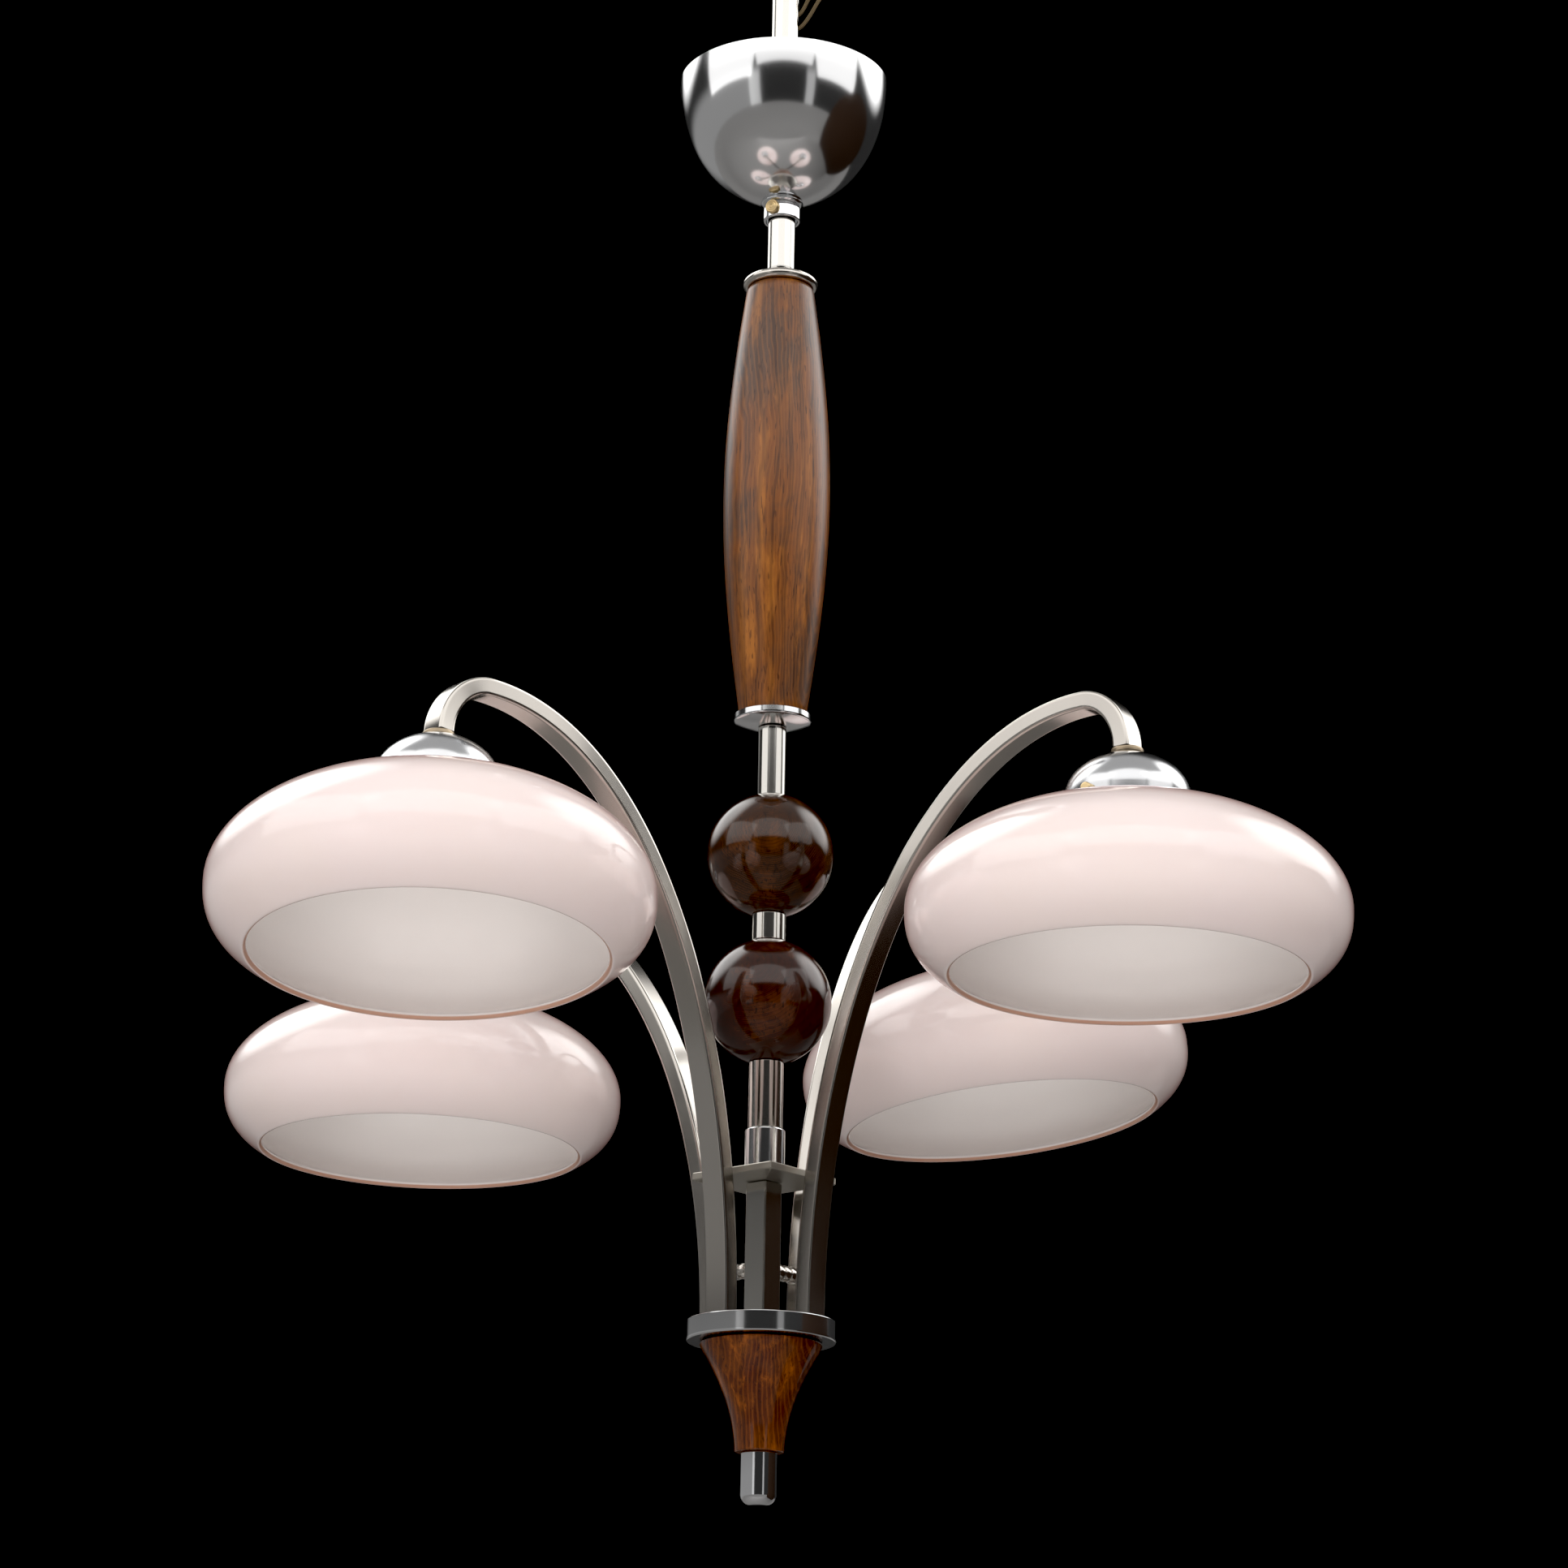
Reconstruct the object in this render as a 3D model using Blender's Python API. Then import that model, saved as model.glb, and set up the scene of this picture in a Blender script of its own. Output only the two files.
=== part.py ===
"""A four-arm hanging chandelier with turned wood, chromed metal and opaline glass shades.

Metres, +Z up. The origin is the point that the hanging eye rests on. The camera-side arm is on -Y.
Heights in the constants are measured from the underside of the base disc, the datum of the stack.
"""

import math

import bmesh
import bpy
from mathutils import Matrix, Quaternion, Vector

# ---------------------------------------------------------------- driving dimensions
GAP = 0.0003  # clearance kept between pieces that touch
HANG_HEIGHT = 0.6885  # inner top of the hanging eye, above the underside of the base disc
TUBE_RADIUS = 0.0065  # 13 mm lighting tube
STEM_RADIUS = 0.00775
TIE_RADIUS = 0.004  # hollow tie rod that runs through the whole stack
TIE_BORE = 0.0026
BORE_RADIUS = 0.0044  # bore of everything threaded on the tie rod

# hanging rod, eye and supply wires
ROD_TOP = 0.664
ROD_BORE = 0.0053
ROD_THREAD_TOP = 0.530  # the rod's bore is narrow below this, where it grips the tie rod
EYE_RADIUS = 0.0105
EYE_WIRE_RADIUS = 0.0025
SLOT_LOW, SLOT_HIGH, SLOT_WIDTH = 0.6345, 0.6480, 0.0042
SLOT_ANGLE = math.radians(40)
WIRE_RADIUS = 0.00095
# routes of the two supply wires: (distance from the rod's axis, height)
WIRE_ROUTES = {
    "supply_wire_upper": (
        (0.0048, 0.6440), (0.0070, 0.6456), (0.0090, 0.6490), (0.0108, 0.6532), (0.0143, 0.6590),
        (0.0181, 0.6650), (0.0195, 0.6712),
    ),
    "supply_wire_lower": (
        (0.0048, 0.6372), (0.0070, 0.6380), (0.0098, 0.6414), (0.0128, 0.6467), (0.0160, 0.6530),
        (0.0202, 0.6590), (0.0243, 0.6650), (0.0258, 0.6712),
    ),
}
WIRE_STEP = 0.0042  # spacing of the points along a wire
BLOCK_SIZE = (0.0170, 0.0120, 0.0130)  # terminal block: out from the rod, across, up
BLOCK_BOTTOM, BLOCK_INNER = 0.6715, 0.0145

# canopy, its collar and set screw
CANOPY_RIM, CANOPY_RADIUS, CANOPY_DEPTH, CANOPY_POWER = 0.6063, 0.0500, 0.0625, 2.15
CANOPY_WALL = 0.0009
CANOPY_BOTTOM = 0.5423
COLLAR_BOTTOM, COLLAR_TOP = 0.5345, 0.5420
COLLAR_RADIUS, COLLAR_BORE = 0.0088, 0.0074
CANOPY_SCREW_HEIGHT = 0.5388
CANOPY_SCREW_ANGLE = math.radians(-78)

# the turned stack
WASHER_RADIUS = 0.0178
TOP_WASHER = (0.4993, 0.5038)
SPINDLE = (0.2870, 0.4990)
SPINDLE_MIDDLE, SPINDLE_HALF_WAVE = 0.3946, 0.110
SPINDLE_NECK, SPINDLE_SWELL = 0.0150, 0.00975
LOWER_WASHER = (0.2833, 0.2867)
LOWER_WASHER_DOME = 0.0020
BALL_RADIUS, BALL_FLAT = 0.02865, 0.0082
UPPER_BALL, LOWER_BALL = 0.2205, 0.1525
STEM_COLLAR = (0.0742, 0.0940)
STEM_COLLAR_RADIUS = 0.00895
PLATE = (0.0706, 0.0739)
PLATE_SIDE = 0.0451
COLUMN_SIDE = 0.0114
DISC_RADIUS, DISC_HEIGHT, DISC_WALL, DISC_FLOOR = 0.0330, 0.0088, 0.0009, 0.0015
FINIAL_BOTTOM, FINIAL_FOOT, FINIAL_FLARE, FINIAL_POWER = -0.0476, 0.0108, 0.0161, 1.85
NUT_RADIUS, NUT_BORE, NUT_HEIGHT = 0.0080, 0.0048, 0.0060
NUT_POCKET = (0.0095, 0.0078)  # radius and depth of the finial's pocket for the lock nut
TIP_BOTTOM, TIP_RADIUS, TIP_ROUND = -0.0702, 0.0080, 0.0045
TIE_BOTTOM, TIE_TOP = -0.0635, 0.528

# arms: rectangular tube on a quarter ellipse up to a crest, then a hook down to the gallery
ARM_WIDTH, ARM_THICKNESS, ARM_WALL = 0.0120, 0.0080, 0.0012
ARM_FOOT_RADIUS = 0.0272
ARM_CURVE_START = 0.0100
ARM_REACH = 0.1930
ARM_END = 0.2350
ARM_HOOK_OUT, ARM_HOOK_DROP = 0.0200, 0.0240
# each arm as it has been set by hand: direction, twist of its upper part in degrees, extra reach,
# sag, and the way its gallery leans in degrees along X and Y
ARM_SETS = {
    "front": (-90, -6.2, 0.001, 0.003, (-4.2, 4.4)),
    "right": (0, 1.2, 0.0, 0.0, (-0.4, 1.1)),
    "back": (90, 7.3, -0.005, 0.0, (-6.4, -3.7)),
    "left": (180, 2.8, 0.010, 0.027, (-0.4, 1.2)),
}
NIPPLE_ARMS = ("back", "left")
NIPPLE_HEIGHT, NIPPLE_RADIUS = 0.0325, 0.0036

# gallery, lampholder and shade, with heights from the arm's end face
RING_RADIUS, RING_HEIGHT = 0.0070, 0.0032
SPIGOT_RADIUS, SPIGOT_RISE = 0.0022, 0.0035
GALLERY_RADIUS, GALLERY_RISE, GALLERY_SKIRT, GALLERY_WALL = 0.0270, 0.0195, 0.0043, 0.0008
GALLERY_TOP_RADIUS = 0.0072
HOLDER_RADIUS, HOLDER_BOTTOM, SOCKET_RADIUS, SOCKET_DEPTH = 0.0170, -0.0544, 0.0134, 0.0260
SHADE_OPENING = -0.1004
SHADE_RADIUS, SHADE_OPENING_RADIUS, SHADE_GIRTH = 0.0935, 0.0764, 0.0275
SHADE_UPPER, SHADE_LOWER_POWER, SHADE_WALL = 0.0471, 2.475, 0.0028
SHADE_NECK_RADIUS, SHADE_NECK_TOP, SHADE_LIP, SHADE_LIP_HEIGHT = 0.0240, 0.0774, 0.0252, 0.0016
SCREW_COUNT, SCREW_RADIUS, SCREW_HEAD_RADIUS, SCREW_HEAD = 3, 0.0009, 0.0024, 0.0040
SCREW_LEVEL = -0.0256
SCREW_PHASE = math.radians(30)

# mesh fineness
FINE, MEDIUM, COARSE, SMALL = 24, 18, 16, 8
SMOOTH_ANGLE = math.radians(32)

# ---------------------------------------------------------------- materials
FINISHES = {  # name: (colour, metallic, roughness)
    "chrome": ((0.78, 0.79, 0.80), 1.0, 0.06),
    "nickel": ((0.66, 0.64, 0.60), 1.0, 0.22),
    "dull_nickel": ((0.46, 0.43, 0.38), 1.0, 0.38),
    "brass": ((0.72, 0.55, 0.30), 1.0, 0.28),
    "stained_beech": ((0.22, 0.085, 0.028), 0.0, 0.28),
    "mahogany_stain": ((0.11, 0.028, 0.012), 0.0, 0.25),
    "opaline_glass": ((0.86, 0.72, 0.70), 0.0, 0.08),
    "bakelite": ((0.05, 0.03, 0.02), 0.0, 0.35),
    "braided_wire": ((0.16, 0.11, 0.06), 0.0, 0.75),
    "porcelain": ((0.82, 0.80, 0.74), 0.0, 0.2),
    "steel": ((0.45, 0.45, 0.46), 1.0, 0.35),
}


def finish(name):
    """The Principled material of that name, made on first use."""
    if name in bpy.data.materials:
        return bpy.data.materials[name]
    colour, metallic, roughness = FINISHES[name]
    material = bpy.data.materials.new(name)
    material.use_nodes = True
    shader = material.node_tree.nodes["Principled BSDF"]
    shader.inputs["Base Color"].default_value = (*colour, 1.0)
    shader.inputs["Metallic"].default_value = metallic
    shader.inputs["Roughness"].default_value = roughness
    return material


# ---------------------------------------------------------------- shared tools
def level(height):
    """World Z of a height above the base disc."""
    return height - HANG_HEIGHT


def add_object(name, bm, material, parent=None, location=(0, 0, 0), rotation=(0, 0, 0)):
    """Link a finished bmesh as an object; smooth its round faces and keep its edges sharp."""
    bmesh.ops.remove_doubles(bm, verts=bm.verts, dist=1e-6)
    bmesh.ops.recalc_face_normals(bm, faces=bm.faces)
    mesh = bpy.data.meshes.new(name)
    bm.to_mesh(mesh)
    bm.free()
    mesh.shade_smooth()
    mesh.set_sharp_from_angle(angle=SMOOTH_ANGLE)
    mesh.materials.append(finish(material))
    thing = bpy.data.objects.new(name, mesh)
    thing.location = location
    thing.rotation_euler = rotation
    thing.parent = parent
    bpy.context.scene.collection.objects.link(thing)
    return thing


def turned(name, outline, material, segments=MEDIUM, closed=True, **placing):
    """Spin (radius, height) points about Z. A closed outline leaves a bore; an open one ends on the axis."""
    bm = bmesh.new()
    verts = [bm.verts.new((radius, 0.0, height)) for radius, height in outline]
    edges = [bm.edges.new(pair) for pair in zip(verts, verts[1:])]
    if closed:
        edges.append(bm.edges.new((verts[-1], verts[0])))
    bmesh.ops.spin(
        bm, geom=verts + edges, cent=(0, 0, 0), axis=(0, 0, 1), angle=math.tau, steps=segments, use_merge=True
    )
    return add_object(name, bm, material, **placing)


def tube(name, bottom, top, radius, bore, material, segments=COARSE, **placing):
    """A plain tube between two heights, with a small chamfer on its outer edges."""
    chamfer = 0.0003
    outline = [
        (bore, bottom),
        (radius - chamfer, bottom),
        (radius, bottom + chamfer),
        (radius, top - chamfer),
        (radius - chamfer, top),
        (bore, top),
    ]
    return turned(name, outline, material, segments, **placing)


def arc(centre, radius, start, end, steps):
    """Points on a circular arc of an outline, with angles in degrees from +radius towards +height."""
    angles = [math.radians(start + (end - start) * i / steps) for i in range(steps + 1)]
    return [(centre[0] + radius * math.cos(a), centre[1] + radius * math.sin(a)) for a in angles]


def raised(outline, height=-HANG_HEIGHT):
    """The outline moved up by height; by default from stack heights to world heights."""
    return [(radius, z + height) for radius, z in outline]


def offset_inward(outline, wall):
    """The outline moved by wall towards its left-hand side, each point along its own normal."""
    moved = []
    for i, (r, z) in enumerate(outline):
        before, after = outline[max(i - 1, 0)], outline[min(i + 1, len(outline) - 1)]
        run, rise = after[0] - before[0], after[1] - before[1]
        length = math.hypot(run, rise)
        moved.append((r - wall * rise / length, z + wall * run / length))
    return moved


def cutter(name, shape, target):
    """Subtract a hidden guide shape from target."""
    shape.name = name
    shape.hide_render = True
    shape.display_type = "WIRE"
    modifier = target.modifiers.new(name, "BOOLEAN")
    modifier.operation = "DIFFERENCE"
    modifier.solver = "EXACT"
    modifier.object = shape


def box_mesh(size, centre):
    """A bmesh box of that size about centre."""
    bm = bmesh.new()
    bmesh.ops.create_cube(bm, size=1.0)
    bmesh.ops.scale(bm, vec=size, verts=bm.verts)
    bmesh.ops.translate(bm, vec=centre, verts=bm.verts)
    return bm


def peg_mesh(radius, near, far, angle, height, segments=SMALL):
    """A bmesh cylinder lying radially at that angle and height, from near to far of the axis."""
    bm = bmesh.new()
    bmesh.ops.create_cone(
        bm, cap_ends=True, segments=segments, radius1=radius, radius2=radius, depth=far - near
    )
    lay = Matrix.Rotation(angle, 4, "Z") @ Matrix.Rotation(math.radians(90), 4, "Y")
    middle = Vector((math.cos(angle), math.sin(angle), 0)) * (near + far) / 2
    bmesh.ops.transform(bm, matrix=Matrix.Translation(middle + Vector((0, 0, height))) @ lay, verts=bm.verts)
    return bm


# ---------------------------------------------------------------- rod, eye and wires
def hanging_rod():
    """The tube that the chandelier hangs by, with the slot where the supply wires leave."""
    bottom = TOP_WASHER[1] + GAP
    outline = [
        (BORE_RADIUS, bottom),
        (TUBE_RADIUS, bottom),
        (TUBE_RADIUS, ROD_TOP),
        (ROD_BORE, ROD_TOP),
        (ROD_BORE, ROD_THREAD_TOP),
        (BORE_RADIUS, ROD_THREAD_TOP),
    ]
    rod = turned("hanging_rod", raised(outline), "nickel")
    middle = Vector((math.cos(SLOT_ANGLE), math.sin(SLOT_ANGLE), 0)) * TUBE_RADIUS
    slot = box_mesh((TUBE_RADIUS, SLOT_WIDTH, SLOT_HIGH - SLOT_LOW), (0, 0, 0))
    guide = add_object("rod_slot_guide", slot, "nickel")
    guide.location = middle + Vector((0, 0, level((SLOT_LOW + SLOT_HIGH) / 2)))
    guide.rotation_euler = (0, 0, SLOT_ANGLE)
    cutter("rod_slot_guide", guide, rod)


def hanging_eye():
    """A round eye on a shank that plugs the top of the rod; its ring stands in the slot's plane."""
    centre = level(HANG_HEIGHT) + EYE_WIRE_RADIUS - EYE_RADIUS
    bm = bmesh.new()
    ring = [bm.verts.new(Vector((EYE_RADIUS + x, 0, y))) for x, y in arc((0, 0), EYE_WIRE_RADIUS, 0, 315, 7)]
    edges = [bm.edges.new((ring[i], ring[(i + 1) % len(ring)])) for i in range(len(ring))]
    bmesh.ops.spin(
        bm, geom=ring + edges, cent=(0, 0, 0), axis=(0, 0, 1), angle=math.tau, steps=MEDIUM, use_merge=True
    )
    stand = Matrix.Rotation(SLOT_ANGLE, 4, "Z") @ Matrix.Rotation(math.radians(90), 4, "X")
    bmesh.ops.transform(bm, matrix=Matrix.Translation((0, 0, centre)) @ stand, verts=bm.verts)
    eye = add_object("hanging_eye", bm, "steel")
    collar_low, collar_high = ROD_TOP + GAP, ROD_TOP + 0.0030
    outline = [
        (0, ROD_TOP - 0.0080),
        (ROD_BORE - GAP, ROD_TOP - 0.0080),
        (ROD_BORE - GAP, collar_low),
        (TUBE_RADIUS, collar_low),
        (TUBE_RADIUS, collar_high),
        (0.0030, collar_high + 0.0015),
        (0, collar_high + 0.0015),
    ]
    shank = turned("eye_shank_guide", raised(outline), "steel", COARSE, closed=False)
    shank.hide_render = True
    shank.display_type = "WIRE"
    join = eye.modifiers.new("shank", "BOOLEAN")
    join.operation = "UNION"
    join.solver = "EXACT"
    join.object = shank


def smooth_route(points, spacing):
    """Points read at even steps from a smooth curve through the route's own points."""
    ends = [2 * points[0] - points[1], *points, 2 * points[-1] - points[-2]]
    dense = []
    for before, start, end, after in zip(ends, ends[1:], ends[2:], ends[3:]):
        for i in range(24):
            t = i / 24
            dense.append(
                0.5
                * (
                    2 * start
                    + (end - before) * t
                    + (2 * before - 5 * start + 4 * end - after) * t**2
                    + (3 * start - before - 3 * end + after) * t**3
                )
            )
    dense.append(points[-1])
    total = sum((b - a).length for a, b in zip(dense, dense[1:]))
    count = round(total / spacing)
    wanted, walked, route = 0.0, 0.0, [dense[0]]
    for a, b in zip(dense, dense[1:]):
        step = (b - a).length
        while len(route) < count and walked + step >= (wanted + total / count):
            wanted += total / count
            route.append(a.lerp(b, (wanted - walked) / step))
        walked += step
    return route[:count] + [dense[-1]]


def supply_wires():
    """The two supply wires from the rod's slot to the terminal block, and the block itself."""
    outward = Vector((math.cos(SLOT_ANGLE), math.sin(SLOT_ANGLE), 0))
    for name, points in WIRE_ROUTES.items():
        route = smooth_route([outward * r + Vector((0, 0, level(h))) for r, h in points], WIRE_STEP)
        curve = bpy.data.curves.new(name, "CURVE")
        curve.dimensions = "3D"
        curve.bevel_depth = WIRE_RADIUS
        curve.bevel_resolution = 2
        curve.use_fill_caps = True
        spline = curve.splines.new("POLY")
        spline.points.add(len(route) - 1)
        for point, place in zip(spline.points, route):
            point.co = (*place, 1.0)
        curve.materials.append(finish("braided_wire"))
        bpy.context.scene.collection.objects.link(bpy.data.objects.new(name, curve))
    centre = outward * (BLOCK_INNER + BLOCK_SIZE[0] / 2)
    centre.z = level(BLOCK_BOTTOM) + BLOCK_SIZE[2] / 2
    add_object(
        "terminal_block",
        box_mesh(BLOCK_SIZE, (0, 0, 0)),
        "porcelain",
        location=centre,
        rotation=(0, 0, SLOT_ANGLE),
    )


# ---------------------------------------------------------------- canopy
def canopy():
    """The bowl that covers the ceiling fitting, its collar, and the screw that clamps it to the rod."""
    power = 2 / CANOPY_POWER
    bowl = []
    for i in range(9):
        turn = math.radians(79) * i / 8
        bowl.append(
            (CANOPY_RADIUS * math.cos(turn) ** power, CANOPY_RIM - CANOPY_DEPTH * math.sin(turn) ** power)
        )
    outer = bowl + [(COLLAR_RADIUS + 0.0012, CANOPY_BOTTOM + 0.0012), (COLLAR_RADIUS, CANOPY_BOTTOM)]
    inner = offset_inward(bowl, -CANOPY_WALL)[:0:-1] + [(CANOPY_RADIUS - CANOPY_WALL, CANOPY_RIM)]
    outline = outer + [(COLLAR_BORE, CANOPY_BOTTOM), (COLLAR_BORE, inner[0][1])] + inner
    turned("canopy", raised(outline), "chrome", FINE)
    collar = tube(
        "canopy_collar", level(COLLAR_BOTTOM), level(COLLAR_TOP), COLLAR_RADIUS, COLLAR_BORE, "chrome"
    )
    hole = peg_mesh(0.0018, 0.0060, 0.0110, CANOPY_SCREW_ANGLE, level(CANOPY_SCREW_HEIGHT))
    cutter("canopy_screw_hole_guide", add_object("canopy_screw_hole_guide", hole, "steel"), collar)
    head_face = COLLAR_RADIUS + GAP
    outline = [
        (0, TUBE_RADIUS + GAP),
        (0.0015, TUBE_RADIUS + GAP),
        (0.0015, head_face),
        (0.0035, head_face),
        (0.0035, head_face + 0.0014),
        (0.0028, head_face + 0.0019),
        (0, head_face + 0.0020),
    ]
    turned(
        "canopy_set_screw",
        outline,
        "brass",
        COARSE,
        closed=False,
        location=(0, 0, level(CANOPY_SCREW_HEIGHT)),
        rotation=(0, math.radians(90), CANOPY_SCREW_ANGLE),
    )


# ---------------------------------------------------------------- the turned stack
def washers():
    """The rounded washer on top of the spindle and the domed one below it."""
    low, high = TOP_WASHER
    edge = (high - low) / 2
    rounded = arc((WASHER_RADIUS - edge, (low + high) / 2), edge, -90, 90, 6)
    outline = [(BORE_RADIUS, low), *rounded, (BORE_RADIUS, high)]
    turned("spindle_top_washer", raised(outline), "nickel", 24)
    low, high = LOWER_WASHER
    dome = []
    for step in range(5):
        share = step / 4
        radius = WASHER_RADIUS + (TUBE_RADIUS - WASHER_RADIUS) * share
        dome.append((radius, low - LOWER_WASHER_DOME * share * (2 - share)))
    outline = [(BORE_RADIUS, low - LOWER_WASHER_DOME), *dome[::-1], (WASHER_RADIUS, high), (BORE_RADIUS, high)]
    turned("spindle_bottom_washer", raised(outline), "chrome", 24)


def spindle():
    """The long turned spindle: a half cosine wave that swells from its necks."""
    low, high = SPINDLE
    steps = 12
    outline = [(BORE_RADIUS, low)]
    for i in range(steps + 1):
        height = low + (high - low) * i / steps
        turn = math.pi * (height - SPINDLE_MIDDLE) / (2 * SPINDLE_HALF_WAVE)
        outline.append((SPINDLE_NECK + SPINDLE_SWELL * math.cos(turn), height))
    outline.append((BORE_RADIUS, high))
    turned("wood_spindle", raised(outline), "stained_beech")


def ball(name, height, material):
    """A turned ball with a small flat at each pole for the tubes that it meets."""
    flat = math.degrees(math.acos(BALL_FLAT / BALL_RADIUS))
    outline = arc((0, height), BALL_RADIUS, -flat, flat, 10)
    half = math.sqrt(BALL_RADIUS**2 - BALL_FLAT**2)
    outline = [(BORE_RADIUS, height - half), *outline, (BORE_RADIUS, height + half)]
    turned(name, raised(outline), material)
    return height - half, height + half


def stack():
    """Everything threaded on the tie rod, from the neck tube down to the finial tip."""
    upper_low, upper_high = ball("upper_ball", UPPER_BALL, "stained_beech")
    lower_low, lower_high = ball("lower_ball", LOWER_BALL, "mahogany_stain")
    neck_top = LOWER_WASHER[0] - LOWER_WASHER_DOME - GAP
    pieces = (
        ("neck_tube", upper_high + GAP, neck_top, TUBE_RADIUS, "nickel"),
        ("ball_spacer", lower_high + GAP, upper_low - GAP, STEM_RADIUS, "nickel"),
        ("stem_tube", STEM_COLLAR[1] + GAP, lower_low - GAP, STEM_RADIUS, "nickel"),
        ("stem_collar", STEM_COLLAR[0], STEM_COLLAR[1], STEM_COLLAR_RADIUS, "chrome"),
    )
    for name, low, high, radius, material in pieces:
        tube(name, level(low), level(high), radius, BORE_RADIUS, material)
    tube("tie_rod", level(TIE_BOTTOM), level(TIE_TOP), TIE_RADIUS, TIE_BORE, "steel")
    tube("lock_nut", level(-GAP - NUT_HEIGHT), level(-GAP), NUT_RADIUS, NUT_BORE, "steel", 6)


def bore_pin(name, low, high, material):
    """A solid pin of the bore's radius, used to cut a bore."""
    outline = [(0, low), (BORE_RADIUS, low), (BORE_RADIUS, high), (0, high)]
    return turned(name, raised(outline), material, COARSE, closed=False)


def column_and_plate():
    """The square column and the plate that spreads the arms, both bored for the tie rod."""
    sizes = (
        ("square_column", COLUMN_SIDE, DISC_FLOOR + GAP, PLATE[0] - GAP, "nickel"),
        ("arm_spreader_plate", PLATE_SIDE, PLATE[0], PLATE[1], "dull_nickel"),
    )
    for name, side, low, high, material in sizes:
        middle = (0, 0, level((low + high) / 2))
        block = add_object(name, box_mesh((side, side, high - low), middle), material)
        bevel = block.modifiers.new("edges", "BEVEL")
        bevel.width = 0.0004
        bevel.segments = 1
        cutter(name + "_bore_guide", bore_pin(name + "_bore_guide", low - 0.01, high + 0.01, material), block)


def base_disc():
    """The shallow dish that the arms' feet stand in."""
    inner = DISC_RADIUS - DISC_WALL
    outline = [
        (BORE_RADIUS, 0),
        (DISC_RADIUS - 0.0004, 0),
        (DISC_RADIUS, 0.0004),
        (DISC_RADIUS, DISC_HEIGHT - 0.0003),
        (DISC_RADIUS - DISC_WALL / 2, DISC_HEIGHT),
        (inner, DISC_HEIGHT - 0.0003),
        (inner, DISC_FLOOR),
        (BORE_RADIUS, DISC_FLOOR),
    ]
    turned("base_disc", raised(outline), "chrome", FINE)


def finial():
    """The trumpet-shaped wooden finial, with a pocket for the lock nut, and the tip that holds it."""
    top = -GAP
    steps = 8
    outline = [(BORE_RADIUS, FINIAL_BOTTOM), (FINIAL_FOOT, FINIAL_BOTTOM)]
    for i in range(1, steps + 1):
        share = i / steps
        height = FINIAL_BOTTOM + (top - 0.0015 - FINIAL_BOTTOM) * share
        outline.append((FINIAL_FOOT + FINIAL_FLARE * share**FINIAL_POWER, height))
    outline.append((FINIAL_FOOT + FINIAL_FLARE - 0.0015, top))
    outline += [(NUT_POCKET[0], top), (NUT_POCKET[0], top - NUT_POCKET[1]), (BORE_RADIUS, top - NUT_POCKET[1])]
    turned("wood_finial", raised(outline), "stained_beech")
    tip_top = FINIAL_BOTTOM - GAP
    outline = [(0, TIP_BOTTOM), *arc((TIP_RADIUS - TIP_ROUND, TIP_BOTTOM + TIP_ROUND), TIP_ROUND, -90, 0, 3)]
    outline += [(TIP_RADIUS, tip_top), (BORE_RADIUS, tip_top)]
    outline += [(BORE_RADIUS, TIE_BOTTOM - GAP), (0, TIE_BOTTOM - GAP)]
    turned("finial_tip", raised(outline), "chrome", closed=False)


# ---------------------------------------------------------------- arms
def arm_path(reach, end):
    """Stations (radius, height, slope angle, share of the way to the end) of an arm's middle line."""
    crest_radius, crest = reach - ARM_HOOK_OUT, end + ARM_HOOK_DROP
    out, up = crest_radius - ARM_FOOT_RADIUS, crest - ARM_CURVE_START
    stations = [(ARM_FOOT_RADIUS, DISC_FLOOR + GAP, math.radians(90))]
    for i in range(15):
        turn = math.radians(90) * i / 14
        slope = math.atan2(up * math.cos(turn), out * math.sin(turn))
        stations.append((crest_radius - out * math.cos(turn), ARM_CURVE_START + up * math.sin(turn), slope))
    for i in range(1, 8):
        turn = math.radians(90) * i / 7
        slope = -math.atan2(ARM_HOOK_DROP * math.sin(turn), ARM_HOOK_OUT * math.cos(turn))
        stations.append(
            (crest_radius + ARM_HOOK_OUT * math.sin(turn), end + ARM_HOOK_DROP * math.cos(turn), slope)
        )
    return stations


def lean_rotation(lean):
    """Rotation that tips +Z by the lean, given in degrees towards +X and +Y."""
    tipped = Vector((math.tan(math.radians(lean[0])), math.tan(math.radians(lean[1])), 1))
    return Vector((0, 0, 1)).rotation_difference(tipped)


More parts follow.
